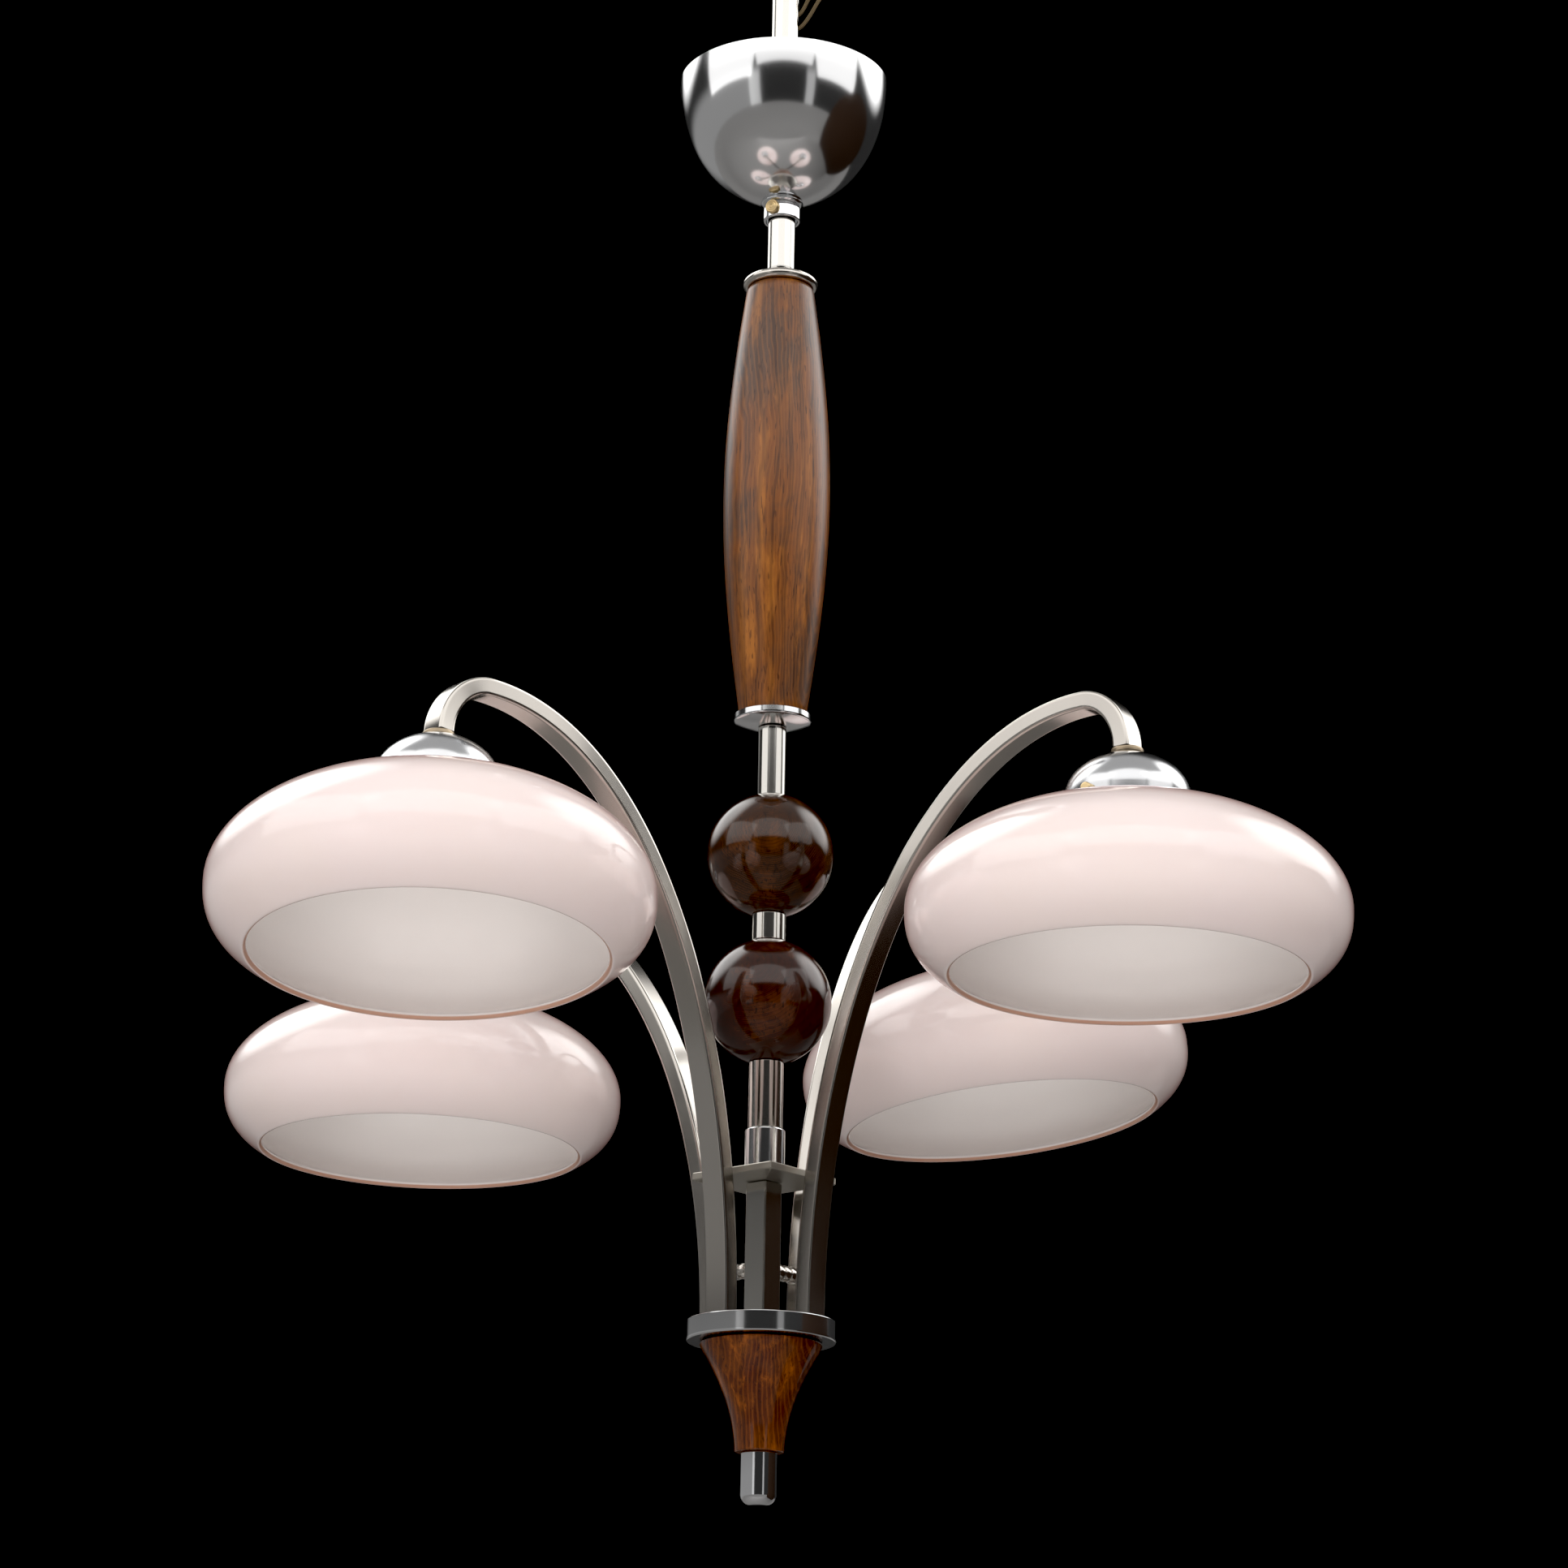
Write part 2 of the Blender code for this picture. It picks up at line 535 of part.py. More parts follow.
def arm(side, direction, twist, extra_reach, sag, lean):
    """One bent tube. Its upper part turns by twist, and its hook bends until it ends along the lean."""
    reach, end = ARM_REACH + extra_reach, ARM_END - sag
    stations = arm_path(reach, end)
    seat_angle = math.radians(direction + twist)
    seat = Vector((reach * math.cos(seat_angle), reach * math.sin(seat_angle), level(end)))
    tip = lean_rotation(lean)
    bm = bmesh.new()
    rings = []
    crest = reach - ARM_HOOK_OUT
    for radius, height, slope in stations:
        share = (radius - ARM_FOOT_RADIUS) / (reach - ARM_FOOT_RADIUS)
        angle = math.radians(direction + twist * share)
        outward = Vector((math.cos(angle), math.sin(angle), 0))
        across = Vector((-math.sin(angle), math.cos(angle), 0))
        along = outward * math.cos(slope) + Vector((0, 0, math.sin(slope)))
        thick = across.cross(along)
        place = outward * radius + Vector((0, 0, level(height)))
        bend = max(0.0, (radius - crest) / ARM_HOOK_OUT)
        turn = Quaternion().slerp(tip, bend)
        ring = []
        for wall in (0.0, ARM_WALL):
            half_width, half_thick = ARM_WIDTH / 2 - wall, ARM_THICKNESS / 2 - wall
            for a, b in ((1, 1), (-1, 1), (-1, -1), (1, -1)):
                corner = place + across * half_width * a + thick * half_thick * b
                ring.append(bm.verts.new(seat + turn @ (corner - seat)))
        rings.append(ring)
    for lower, upper in zip(rings, rings[1:]):
        for start in (0, 4):
            for i in range(4):
                j = start + (i + 1) % 4
                i = start + i
                bm.faces.new((lower[i], lower[j], upper[j], upper[i]))
    for ring in (rings[0], rings[-1]):
        for i in range(4):
            j = (i + 1) % 4
            bm.faces.new((ring[i], ring[j], ring[4 + j], ring[4 + i]))
    add_object("arm_" + side, bm, "nickel")
    return seat, tip


def nipple(side, direction):
    """The ribbed brass nipple between the column and an arm, wider where it meets the arm."""
    near, far = COLUMN_SIDE / 2 + GAP, ARM_FOOT_RADIUS - ARM_THICKNESS / 2 - GAP
    ribs = 4
    outline = [(0, near)]
    for i in range(ribs):
        low = near + (far - near) * i / ribs
        high = near + (far - near) * (i + 1) / ribs
        swell = NIPPLE_RADIUS + 0.0004 * (i == ribs - 1)
        outline += [(swell - 0.0008, low), (swell, low + (high - low) * 0.35)]
        outline += [(swell, low + (high - low) * 0.75)]
    outline += [(NIPPLE_RADIUS - 0.0002, far), (0, far)]
    turned(
        "arm_nipple_" + side,
        outline,
        "brass",
        12,
        closed=False,
        location=(0, 0, level(NIPPLE_HEIGHT)),
        rotation=(0, math.radians(90), math.radians(direction)),
    )


# ---------------------------------------------------------------- gallery, lampholder and shade
def shade_outline():
    """Closed outline of a shade, with heights from its opening: a squashed bowl under a lipped neck."""
    power = 2 / SHADE_LOWER_POWER
    lower_half = SHADE_GIRTH / (
        (1 - (SHADE_OPENING_RADIUS / SHADE_RADIUS) ** SHADE_LOWER_POWER) ** (1 / SHADE_LOWER_POWER)
    )
    open_turn = math.asin((SHADE_GIRTH / lower_half) ** (1 / power))
    outer = []
    for i in range(5):
        turn = open_turn * (1 - i / 4)
        outer.append(
            (SHADE_RADIUS * math.cos(turn) ** power, SHADE_GIRTH - lower_half * math.sin(turn) ** power)
        )
    neck_turn = math.acos((SHADE_NECK_RADIUS + 0.0012) / SHADE_RADIUS)
    for i in range(1, 8):
        turn = neck_turn * i / 7
        outer.append((SHADE_RADIUS * math.cos(turn), SHADE_GIRTH + SHADE_UPPER * math.sin(turn)))
    inner = offset_inward(outer, SHADE_WALL)
    neck_bore = SHADE_NECK_RADIUS - SHADE_WALL
    lip_low = SHADE_NECK_TOP - SHADE_LIP_HEIGHT
    neck = [
        (SHADE_NECK_RADIUS, outer[-1][1] + 0.0004),
        (SHADE_NECK_RADIUS, lip_low),
        (SHADE_LIP, lip_low),
        (SHADE_LIP, SHADE_NECK_TOP),
        (neck_bore, SHADE_NECK_TOP),
        (neck_bore, inner[-1][1]),
    ]
    return outer + neck + inner[-2::-1]


def gallery_outline():
    """Closed outline of the domed gallery, with heights from the arm's end face."""
    top = -RING_HEIGHT - GAP
    skirt_top = top - GALLERY_RISE
    bottom = skirt_top - GALLERY_SKIRT
    crown_turn = math.acos(GALLERY_TOP_RADIUS / GALLERY_RADIUS)
    outer = [(GALLERY_RADIUS, bottom)]
    inner = [(GALLERY_RADIUS - GALLERY_WALL, bottom)]
    for i in range(6):
        turn = crown_turn * i / 5
        rise = GALLERY_RISE / math.sin(crown_turn) * math.sin(turn)
        outer.append((GALLERY_RADIUS * math.cos(turn), skirt_top + rise))
        inner.append(
            (
                (GALLERY_RADIUS - GALLERY_WALL) * math.cos(turn),
                skirt_top + rise - GALLERY_WALL * math.sin(turn),
            )
        )
    hole = SPIGOT_RADIUS + GAP
    return outer + [(hole, top), (hole, top - GALLERY_WALL)] + inner[::-1]


def holder_outline():
    """Open outline of a lampholder: threaded spigot, cap, barrel and the socket in its lower end."""
    cap_top = -RING_HEIGHT - GALLERY_WALL - 2 * GAP
    socket_top = HOLDER_BOTTOM + SOCKET_DEPTH
    return [
        (0, SPIGOT_RISE),
        (SPIGOT_RADIUS, SPIGOT_RISE),
        (SPIGOT_RADIUS, cap_top),
        (0.0060, cap_top),
        (0.0090, cap_top - 0.0020),
        (0.0120, cap_top - 0.0070),
        (HOLDER_RADIUS, cap_top - 0.0160),
        (HOLDER_RADIUS, HOLDER_BOTTOM + 0.0010),
        (HOLDER_RADIUS - 0.0010, HOLDER_BOTTOM),
        (SOCKET_RADIUS, HOLDER_BOTTOM),
        (SOCKET_RADIUS, socket_top),
        (0, socket_top),
    ]


def gallery_set(side, seat, tip):
    """The ring, gallery, lampholder, shade and screws that hang from one arm's end."""
    mount = bpy.data.objects.new("seat_" + side, None)
    mount.location = seat
    mount.rotation_mode = "QUATERNION"
    mount.rotation_quaternion = tip
    bpy.context.scene.collection.objects.link(mount)
    bore = SPIGOT_RADIUS + GAP
    tube("arm_ring_" + side, -RING_HEIGHT, -GAP, RING_RADIUS, bore, "brass", parent=mount)
    gallery = turned("gallery_" + side, gallery_outline(), "chrome", parent=mount)
    turned("lampholder_" + side, holder_outline(), "bakelite", COARSE, closed=False, parent=mount)
    turned("glass_shade_" + side, raised(shade_outline(), SHADE_OPENING), "opaline_glass", FINE, parent=mount)
    head = GALLERY_RADIUS + GAP
    screw = [
        (0, SHADE_NECK_RADIUS + GAP),
        (SCREW_RADIUS, SHADE_NECK_RADIUS + GAP),
        (SCREW_RADIUS, head),
        (SCREW_HEAD_RADIUS, head),
        (SCREW_HEAD_RADIUS, head + SCREW_HEAD - 0.0006),
        (SCREW_HEAD_RADIUS - 0.0006, head + SCREW_HEAD),
        (0, head + SCREW_HEAD),
    ]
    for i in range(SCREW_COUNT):
        angle = SCREW_PHASE + math.tau * i / SCREW_COUNT
        hole_name = f"gallery_hole_guide_{side}_{i + 1}"
        hole = peg_mesh(SCREW_RADIUS + GAP / 2, 0.0245, 0.0295, angle, SCREW_LEVEL)
        cutter(hole_name, add_object(hole_name, hole, "steel", parent=mount), gallery)
        turned(
            f"gallery_screw_{side}_{i + 1}",
            screw,
            "brass",
            SMALL,
            closed=False,
            parent=mount,
            location=(0, 0, SCREW_LEVEL),
            rotation=(0, math.radians(90), angle),
        )


def main():
    for thing in list(bpy.data.objects):
        bpy.data.objects.remove(thing, do_unlink=True)
    hanging_rod()
    hanging_eye()
    supply_wires()
    canopy()
    washers()
    spindle()
    stack()
    column_and_plate()
    base_disc()
    finial()
    for side, setting in ARM_SETS.items():
        seat, tip = arm(side, *setting)
        gallery_set(side, seat, tip)
        if side in NIPPLE_ARMS:
            nipple(side, setting[0])


main()
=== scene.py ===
"""Shows the four-arm chandelier in its finished looks, in a plain studio.

Metres, +Z up; the origin is where the hanging eye rests on its hook. Heights called stack heights are
measured from the underside of the base disc, and lift() turns them into Z.
"""

import math

import bmesh
import bpy
import numpy as np
from bpy.props import FloatProperty, FloatVectorProperty, IntProperty, PointerProperty
from mathutils import Matrix, Vector


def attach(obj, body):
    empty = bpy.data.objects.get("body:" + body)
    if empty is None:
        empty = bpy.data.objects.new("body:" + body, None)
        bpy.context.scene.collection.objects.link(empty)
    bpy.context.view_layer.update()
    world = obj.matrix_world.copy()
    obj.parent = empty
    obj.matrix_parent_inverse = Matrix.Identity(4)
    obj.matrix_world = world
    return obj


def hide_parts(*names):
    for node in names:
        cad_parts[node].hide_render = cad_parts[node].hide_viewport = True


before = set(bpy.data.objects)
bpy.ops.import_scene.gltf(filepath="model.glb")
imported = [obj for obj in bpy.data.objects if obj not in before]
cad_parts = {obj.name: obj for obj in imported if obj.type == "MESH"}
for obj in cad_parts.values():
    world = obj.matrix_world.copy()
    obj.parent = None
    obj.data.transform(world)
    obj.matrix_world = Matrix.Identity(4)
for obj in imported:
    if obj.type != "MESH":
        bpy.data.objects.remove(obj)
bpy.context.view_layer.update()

bl_info = {
    "name": "Four-arm chandelier",
    "version": (1, 0, 0),
    "blender": (4, 5, 0),
    "location": "3D View > Sidebar > Chandelier",
    "description": "Builds a hanging chandelier of turned wood, chromed metal and opaline glass",
    "category": "Object",
}

HANG_HEIGHT = 0.6885
VIEW_TURN = math.radians(40)  # the camera's turn about Z
SLOT_TURN = VIEW_TURN  # the rod's slot faces the camera's right
BORE_RADIUS = 0.0044  # bore round the tie rod
GAP = 0.0003  # clearance between pieces that touch
UPPER_BALL, LOWER_BALL = 0.2205, 0.1525  # stack heights of the balls' middles
BALL_FLAT = 0.0082  # radius of the flats at a ball's poles
ARM_FOOT, FOOT_TOP = 0.0272, 0.0100  # radius of an arm's foot, and the stack height its curve starts from
ARM_REACH, ARM_END = 0.1930, 0.2350  # radius and stack height of an arm's end, before it was bent
HOOK_OUT, HOOK_RISE = 0.0200, 0.0240  # half axes of the quarter ellipse at an arm's end
RIG_MIDDLE = -0.38  # Z of the chandelier's middle, which the lamps face
# direction, twist of the upper part, extra reach, sag, and lean of the gallery along X and Y in degrees
ARM_SETS = {
    "front": (-90, -6.2, 0.001, 0.003, (-4.2, 4.4)),
    "right": (0, 1.2, 0.0, 0.0, (-0.4, 1.1)),
    "back": (90, 7.3, -0.005, 0.0, (-6.4, -3.7)),
    "left": (180, 2.8, 0.010, 0.027, (-0.4, 1.2)),
}
NIPPLE_ARMS = ("back", "left")
WIRE_ROUTES = {
    "supply_wire_upper": (
        (0.0048, 0.6440), (0.0070, 0.6456), (0.0090, 0.6490), (0.0108, 0.6532), (0.0143, 0.6590),
        (0.0181, 0.6650), (0.0195, 0.6712),
    ),
    "supply_wire_lower": (
        (0.0048, 0.6372), (0.0070, 0.6380), (0.0098, 0.6414), (0.0128, 0.6467), (0.0160, 0.6530),
        (0.0202, 0.6590), (0.0243, 0.6650), (0.0258, 0.6712),
    ),
}


# ---------------------------------------------------------------- sizes, colours and studio
def length(label, default, words):
    """A length in metres that a user may change."""
    return FloatProperty(name=label, description=words, default=default, min=0.0, unit="LENGTH")


def colour(label, default, words):
    """A linear colour that a user may change."""
    return FloatVectorProperty(
        name=label, description=words, default=default, size=3, min=0.0, max=1.0, subtype="COLOR"
    )


class ChandelierSizes(bpy.types.PropertyGroup):
    """Sizes of the chandelier's pieces."""

    tube_radius: length("Tube radius", 0.0065, "Outside of the 13 mm tube of the rod and neck")
    stem_radius: length("Stem radius", 0.00775, "Outside of the stem and ball spacer")
    canopy_radius: length("Canopy radius", 0.0500, "Rim of the canopy")
    canopy_depth: length("Canopy depth", 0.0625, "Depth of the canopy's bowl")
    washer_radius: length("Washer radius", 0.0178, "Both washers of the spindle")
    spindle_neck: length("Spindle neck", 0.0150, "Radius the spindle's wave starts from")
    spindle_swell: length("Spindle swell", 0.00975, "How far the spindle's middle stands out from that")
    ball_radius: length("Ball radius", 0.02865, "Both turned balls")
    plate_side: length("Plate side", 0.0451, "Side of the plate that spreads the arms")
    column_side: length("Column side", 0.0114, "Side of the square column")
    disc_radius: length("Disc radius", 0.0330, "Rim of the base disc")
    arm_width: length("Arm width", 0.0120, "Arm tube across its bend")
    arm_thickness: length("Arm thickness", 0.0080, "Arm tube in the plane of its bend")
    shade_radius: length("Shade radius", 0.0935, "Widest radius of a glass shade")
    shade_opening: length("Shade opening", 0.0764, "Radius of a glass shade's opening")
    shade_wall: length("Shade wall", 0.0028, "Thickness of the glass")
    round_steps: IntProperty(
        name="Round steps", description="Steps round the larger turned pieces", default=96, min=24, max=192
    )


class ChandelierColours(bpy.types.PropertyGroup):
    """Colours of the chandelier's finishes."""

    chrome: colour("Chrome", (0.82, 0.83, 0.85), "Canopy, galleries, disc and tip")
    nickel: colour("Nickel", (0.62, 0.585, 0.54), "Tubes and arms")
    dull_nickel: colour("Dull nickel", (0.08, 0.062, 0.045), "Plate under the stem")
    brass: colour("Brass", (0.45, 0.36, 0.25), "Screws, rings and nipples")
    wood_light: colour("Light grain", (0.38, 0.135, 0.018), "Golden streaks of the spindle and finial")
    wood_middle: colour("Middle grain", (0.165, 0.050, 0.007), "Body of the brown wood")
    wood_dark: colour("Dark grain", (0.020, 0.0045, 0.0015), "Pores and growth lines")
    mahogany: colour("Mahogany", (0.052, 0.0085, 0.0018), "Body of the red-stained ball")
    glass_outside: colour("Glass outside", (0.95, 0.75, 0.73), "Pink casing of the shades")
    glass_edge: colour("Glass at its edges", (0.86, 0.50, 0.47), "Pink where the casing is seen at a slant")
    glass_inside: colour("Glass inside", (0.95, 0.86, 0.83), "White lining of the shades")
    glass_rim: colour("Cut rim", (0.52, 0.30, 0.22), "Ground edge of the opening")
    bakelite: colour("Bakelite", (0.045, 0.022, 0.014), "Lampholders")
    wire: colour("Wire covering", (0.17, 0.12, 0.06), "Braid of the supply wires")
    porcelain: colour("Porcelain", (0.82, 0.80, 0.74), "Terminal block")
    steel: colour("Steel", (0.45, 0.45, 0.46), "Eye, tie rod and lock nut")


class ChandelierStudio(bpy.types.PropertyGroup):
    """Studio that the chandelier is shown in."""

    floor_colour: colour("Floor", (0.25, 0.245, 0.24), "Plain pale floor")
    backdrop_colour: colour("Backdrop", (0.0, 0.0, 0.0), "Dark cloth behind the chandelier")
    floor_height: FloatProperty(
        name="Floor height", description="Z of the floor", default=-2.45, unit="LENGTH"
    )
    lens: FloatProperty(
        name="Lens", description="Focal length on a 36 mm sensor", default=91.3, unit="CAMERA"
    )


# ---------------------------------------------------------------- shader tools
class Signal:
    """One output of a shader's nodes. Arithmetic on it adds the Math nodes that work it out."""

    def __init__(self, mixer, socket):
        self.mixer, self.socket = mixer, socket

    def __add__(self, other):
        return self.mixer.maths("ADD", self, other)

    def __radd__(self, other):
        return self.mixer.maths("ADD", other, self)

    def __sub__(self, other):
        return self.mixer.maths("SUBTRACT", self, other)

    def __rsub__(self, other):
        return self.mixer.maths("SUBTRACT", other, self)

    def __mul__(self, other):
        return self.mixer.maths("MULTIPLY", self, other)

    def __rmul__(self, other):
        return self.mixer.maths("MULTIPLY", other, self)


class Mixer:
    """Makes nodes in one shader tree and joins them."""

    def __init__(self, tree):
        self.tree = tree

    def feed(self, socket, value):
        """Join a signal to the socket, or set the socket to a plain value."""
        if isinstance(value, Signal):
            self.tree.links.new(value.socket, socket)
        elif socket.type == "RGBA" and len(value) == 3:
            socket.default_value = (*value, 1.0)
        else:
            socket.default_value = value

    def node(self, kind, output=0, settings=None, stops=None, **values):
        """Make a node: its settings first, a ramp's stops next, then its sockets, and give one output."""
        made = self.tree.nodes.new(kind)
        for key, value in (settings or {}).items():
            setattr(made, key, value)
        if stops:
            ramp = made.color_ramp.elements
            while len(ramp) < len(stops):
                ramp.new(1.0)
            for element, (position, tint) in zip(ramp, stops):
                element.position = position
                element.color = (*tint, 1.0)
        for key, value in values.items():
            self.feed(made.inputs[key.replace("_", " ")], value)
        return Signal(self, made.outputs[output])

    def maths(self, operation, *values):
        """One Math node."""
        made = self.tree.nodes.new("ShaderNodeMath")
        made.operation = operation
        for socket, value in zip(made.inputs, values):
            self.feed(socket, value)
        return Signal(self, made.outputs[0])

    def step(self, value, low, high, start=0.0, end=1.0):
        """Smoothly from start to end as value goes from low to high."""
        made = self.tree.nodes.new("ShaderNodeMapRange")
        made.interpolation_type = "SMOOTHSTEP"
        for socket, number in zip(made.inputs, (value, low, high, start, end)):
            self.feed(socket, number)
        return Signal(self, made.outputs[0])

    def blend(self, share, first, second):
        """Colour first turning into second as share goes from 0 to 1."""
        made = self.tree.nodes.new("ShaderNodeMix")
        made.data_type = "RGBA"
        self.feed(made.inputs[0], share)
        self.feed(made.inputs[6], first)
        self.feed(made.inputs[7], second)
        return Signal(self, made.outputs[2])

    def dot(self, where, direction, shift=0.0):
        """How far where lies along a direction, past shift."""
        made = self.node("ShaderNodeVectorMath", "Value", {"operation": "DOT_PRODUCT"})
        inputs = made.socket.node.inputs
        self.feed(inputs[0], where)
        self.feed(inputs[1], direction)
        return made - shift if shift else made

    def spread(self, scale, shift=(0, 0, 0), turn=(0, 0, 0), source=None):
        """Position on the piece, moved, turned and scaled along each axis."""
        return self.node(
            "ShaderNodeMapping",
            Vector=source or self.place,
            Location=shift,
            Rotation=[math.radians(a) for a in turn],
            Scale=scale,
        )

    def noise(self, where, scale, detail=3.0, roughness=0.5, distortion=0.0):
        """Fractal noise from 0 to 1."""
        return self.node(
            "ShaderNodeTexNoise",
            Vector=where,
            Scale=scale,
            Detail=detail,
            Roughness=roughness,
            Distortion=distortion,
        )


class Paint(Mixer):
    """A material being mixed, with the Principled shader that its nodes feed."""

    def __init__(self, name):
        self.material = bpy.data.materials.new(name)
        self.material.use_nodes = True
        super().__init__(self.material.node_tree)
        self.shader = self.tree.nodes["Principled BSDF"]
        self.place = self.node("ShaderNodeTexCoord", output="Object")

    def bump(self, height, strength, distance):
        """Feed the shader's normal from a height pattern."""
        made = self.node("ShaderNodeBump", Height=height, Strength=strength, Distance=distance)
        self.feed(self.shader.inputs["Normal"], made)

    def set(self, **values):
        """Feed the shader's sockets, named with underscores for spaces."""
        for key, value in values.items():
            self.feed(self.shader.inputs[key.replace("_", " ")], value)


def metal(name, tint, roughness, wear=0.3, haze=0.08, tarnish=(0.16, 0.11, 0.06)):
    """Plated metal: hazy smears, hairline scratches and specks of tarnish in proportion to wear."""
    paint = Paint(name)
    smear = paint.noise(paint.spread((34, 34, 14)), 1.0, 4.0, 0.6)
    hair = paint.noise(paint.spread((2600, 2600, 90), turn=(6, 4, 0)), 1.0, 2.0, 0.7)
    specks = paint.noise(paint.place, 900.0, 2.0, 0.5)
    spots = paint.step(specks, 0.64, 0.72) * paint.step(smear, 0.42, 0.70)
    dulled = paint.blend(paint.step(smear, 0.35, 0.8) * (0.4 * wear), tint, [c * 0.6 for c in tint])
    paint.set(
        Base_Color=paint.blend(spots * wear, dulled, tarnish),
        Metallic=1.0,
        Roughness=roughness + haze * paint.step(smear, 0.3, 0.75) + spots * (0.4 * wear),
    )
    paint.bump(hair, 0.03 + 0.15 * wear, 0.00002)


def wood(name, light, middle, dark, stain, rings, streak_scale, blotch, gold=0.5, gloss=0.16):
    """Stained and lacquered wood.

    rings is two directions square to the growth rings' axis, the axis's place along each, and the ring
    spacing. A ring is an even step of the distance from that axis, sqrt(u^2 + v^2), bent by noise.
    Streaks and pores are noise drawn out along the grain, and clouds of stain are soft noise.
    """
    paint = Paint(name)
    first, second, u_place, v_place, spacing = rings
    wander = paint.noise(paint.spread((40, 40, 16)), 1.0, 3.0, 0.55)
    u = paint.dot(paint.place, first, u_place)
    v = paint.dot(paint.place, second, v_place)
    away = paint.maths("SQRT", u * u + v * v) + wander * (spacing * 1.6)
    wave = paint.maths("SINE", away * (math.tau / spacing)) * 0.5 + 0.5
    fine = paint.maths("SINE", away * (math.tau * 3.7 / spacing)) * 0.5 + 0.5
    clouds = paint.noise(paint.spread(blotch), 1.0, 4.0, 0.62, 0.3)
    broad = paint.noise(paint.spread(streak_scale), 1.0, 5.0, 0.62, 0.7)
    thin = paint.noise(paint.spread([4 * s for s in streak_scale]), 1.0, 3.0, 0.6)
    pores = paint.noise(paint.spread([11 * s for s in streak_scale]), 1.0, 1.0, 0.5)
    body = paint.blend(paint.step(clouds, 0.38, 0.58), stain, middle)
    lie = clouds * 0.35 + broad * 0.60 + wave * 0.06
    golden = paint.step(lie, 0.57 - 0.12 * gold, 0.69 - 0.10 * gold) * (0.5 + 0.4 * gold)
    body = paint.blend(golden, body, light)
    body = paint.blend(paint.step(thin, 0.50, 0.70) * 0.5, body, dark_mix(dark, middle, 0.35))
    body = paint.blend(paint.step(wave, 0.55, 1.0) * 0.42, body, dark)
    body = paint.blend(paint.step(fine, 0.5, 1.0) * 0.18, body, light)
    body = paint.blend(paint.step(pores, 0.62, 0.70) * 0.6, body, dark)
    paint.set(
        Base_Color=body,
        Roughness=0.6 + 0.1 * clouds,
        Coat_Weight=1.0,
        Coat_IOR=1.5,
        Coat_Roughness=gloss,
        Specular_IOR_Level=0.0,
    )
    paint.bump(thin * 0.4 - paint.step(pores, 0.60, 0.70), 0.16, 0.00010)


def dark_mix(first, second, share):
    """Plain colour between two others."""
    return [a + (b - a) * share for a, b in zip(first, second)]


def opaline(colours, girth_length):
    """Cased glass: pink outside, deeper where seen at a slant, white inside, brown along its cut rim.

    The piece's V runs from the rim up its outside and back down its inside, in metres.
    """
    paint = Paint("opaline_glass")
    texture = paint.node("ShaderNodeTexCoord", output="UV")
    run = paint.node("ShaderNodeSeparateXYZ", output="Y", Vector=texture)
    slant = paint.node("ShaderNodeLayerWeight", output="Facing", Blend=0.5)
    cloud = paint.noise(paint.place, 22.0, 3.0, 0.5)
    outside = paint.blend(
        paint.step(slant, 0.72, 1.0) * 0.8, colours.glass_outside[:], colours.glass_edge[:]
    )
    outside = paint.blend(paint.step(cloud, 0.3, 0.8) * 0.25, outside, (0.95, 0.76, 0.68))
    over_lip = paint.step(run, girth_length - 0.001, girth_length)
    lined = paint.blend(over_lip, outside, colours.glass_inside[:])
    rim = 1 - paint.step(run, 0.0009, 0.0016)
    far = 2 * girth_length - run
    paint.set(
        Base_Color=paint.blend(rim + (1 - paint.step(far, 0.0004, 0.0010)), lined, colours.glass_rim[:]),
        Roughness=0.12,
        Coat_Weight=0.25,
        Coat_Roughness=0.04,
        Subsurface_Weight=0.8,
        Subsurface_Radius=(1.0, 1.0, 1.0),
        Subsurface_Scale=0.006,
    )
    ripple = paint.noise(paint.spread((16, 16, 34)), 1.0, 2.0, 0.5)
    paint.bump(ripple, 0.25, 0.0008)
    return paint.material


def braid(tint):
    """Cotton braid: two crossing spirals read from the piece's own U (round) and V (along, metres)."""
    paint = Paint("braided_wire")
    texture = paint.node("ShaderNodeTexCoord", output="UV")
    split = paint.node("ShaderNodeSeparateXYZ", output="X", Vector=texture).socket.node
    turn, run = Signal(paint, split.outputs["X"]), Signal(paint, split.outputs["Y"])
    right = paint.maths("SINE", (turn * 3 + run * 900) * math.tau)
    left = paint.maths("SINE", (turn * 3 - run * 900) * math.tau)
    weave = right * left * 0.5 + 0.5
    fluff = paint.noise(paint.place, 900.0, 3.0, 0.6)
    dark = [c * 0.35 for c in tint]
    paint.set(Base_Color=paint.blend(paint.step(weave + 0.4 * fluff, 0.3, 1.0), dark, tint), Roughness=0.85)
    paint.bump(weave, 0.8, 0.0002)
    return paint.material


def moulded(name, tint, roughness):
    """Plain moulded or glazed insulator with faint cloudiness."""
    paint = Paint(name)
    cloud = paint.noise(paint.place, 90.0, 3.0, 0.5)
    paint.set(
        Base_Color=paint.blend(cloud * 0.4, tint, [c * 0.75 for c in tint]),
        Roughness=roughness + 0.08 * cloud,
    )


# ---------------------------------------------------------------- surface tools
def lift(height):
    """Z of a stack height."""
    return height - HANG_HEIGHT


def raised(outline):
    """An outline of (radius, stack height) with its heights turned into Z."""
    return outline + (0.0, lift(0))


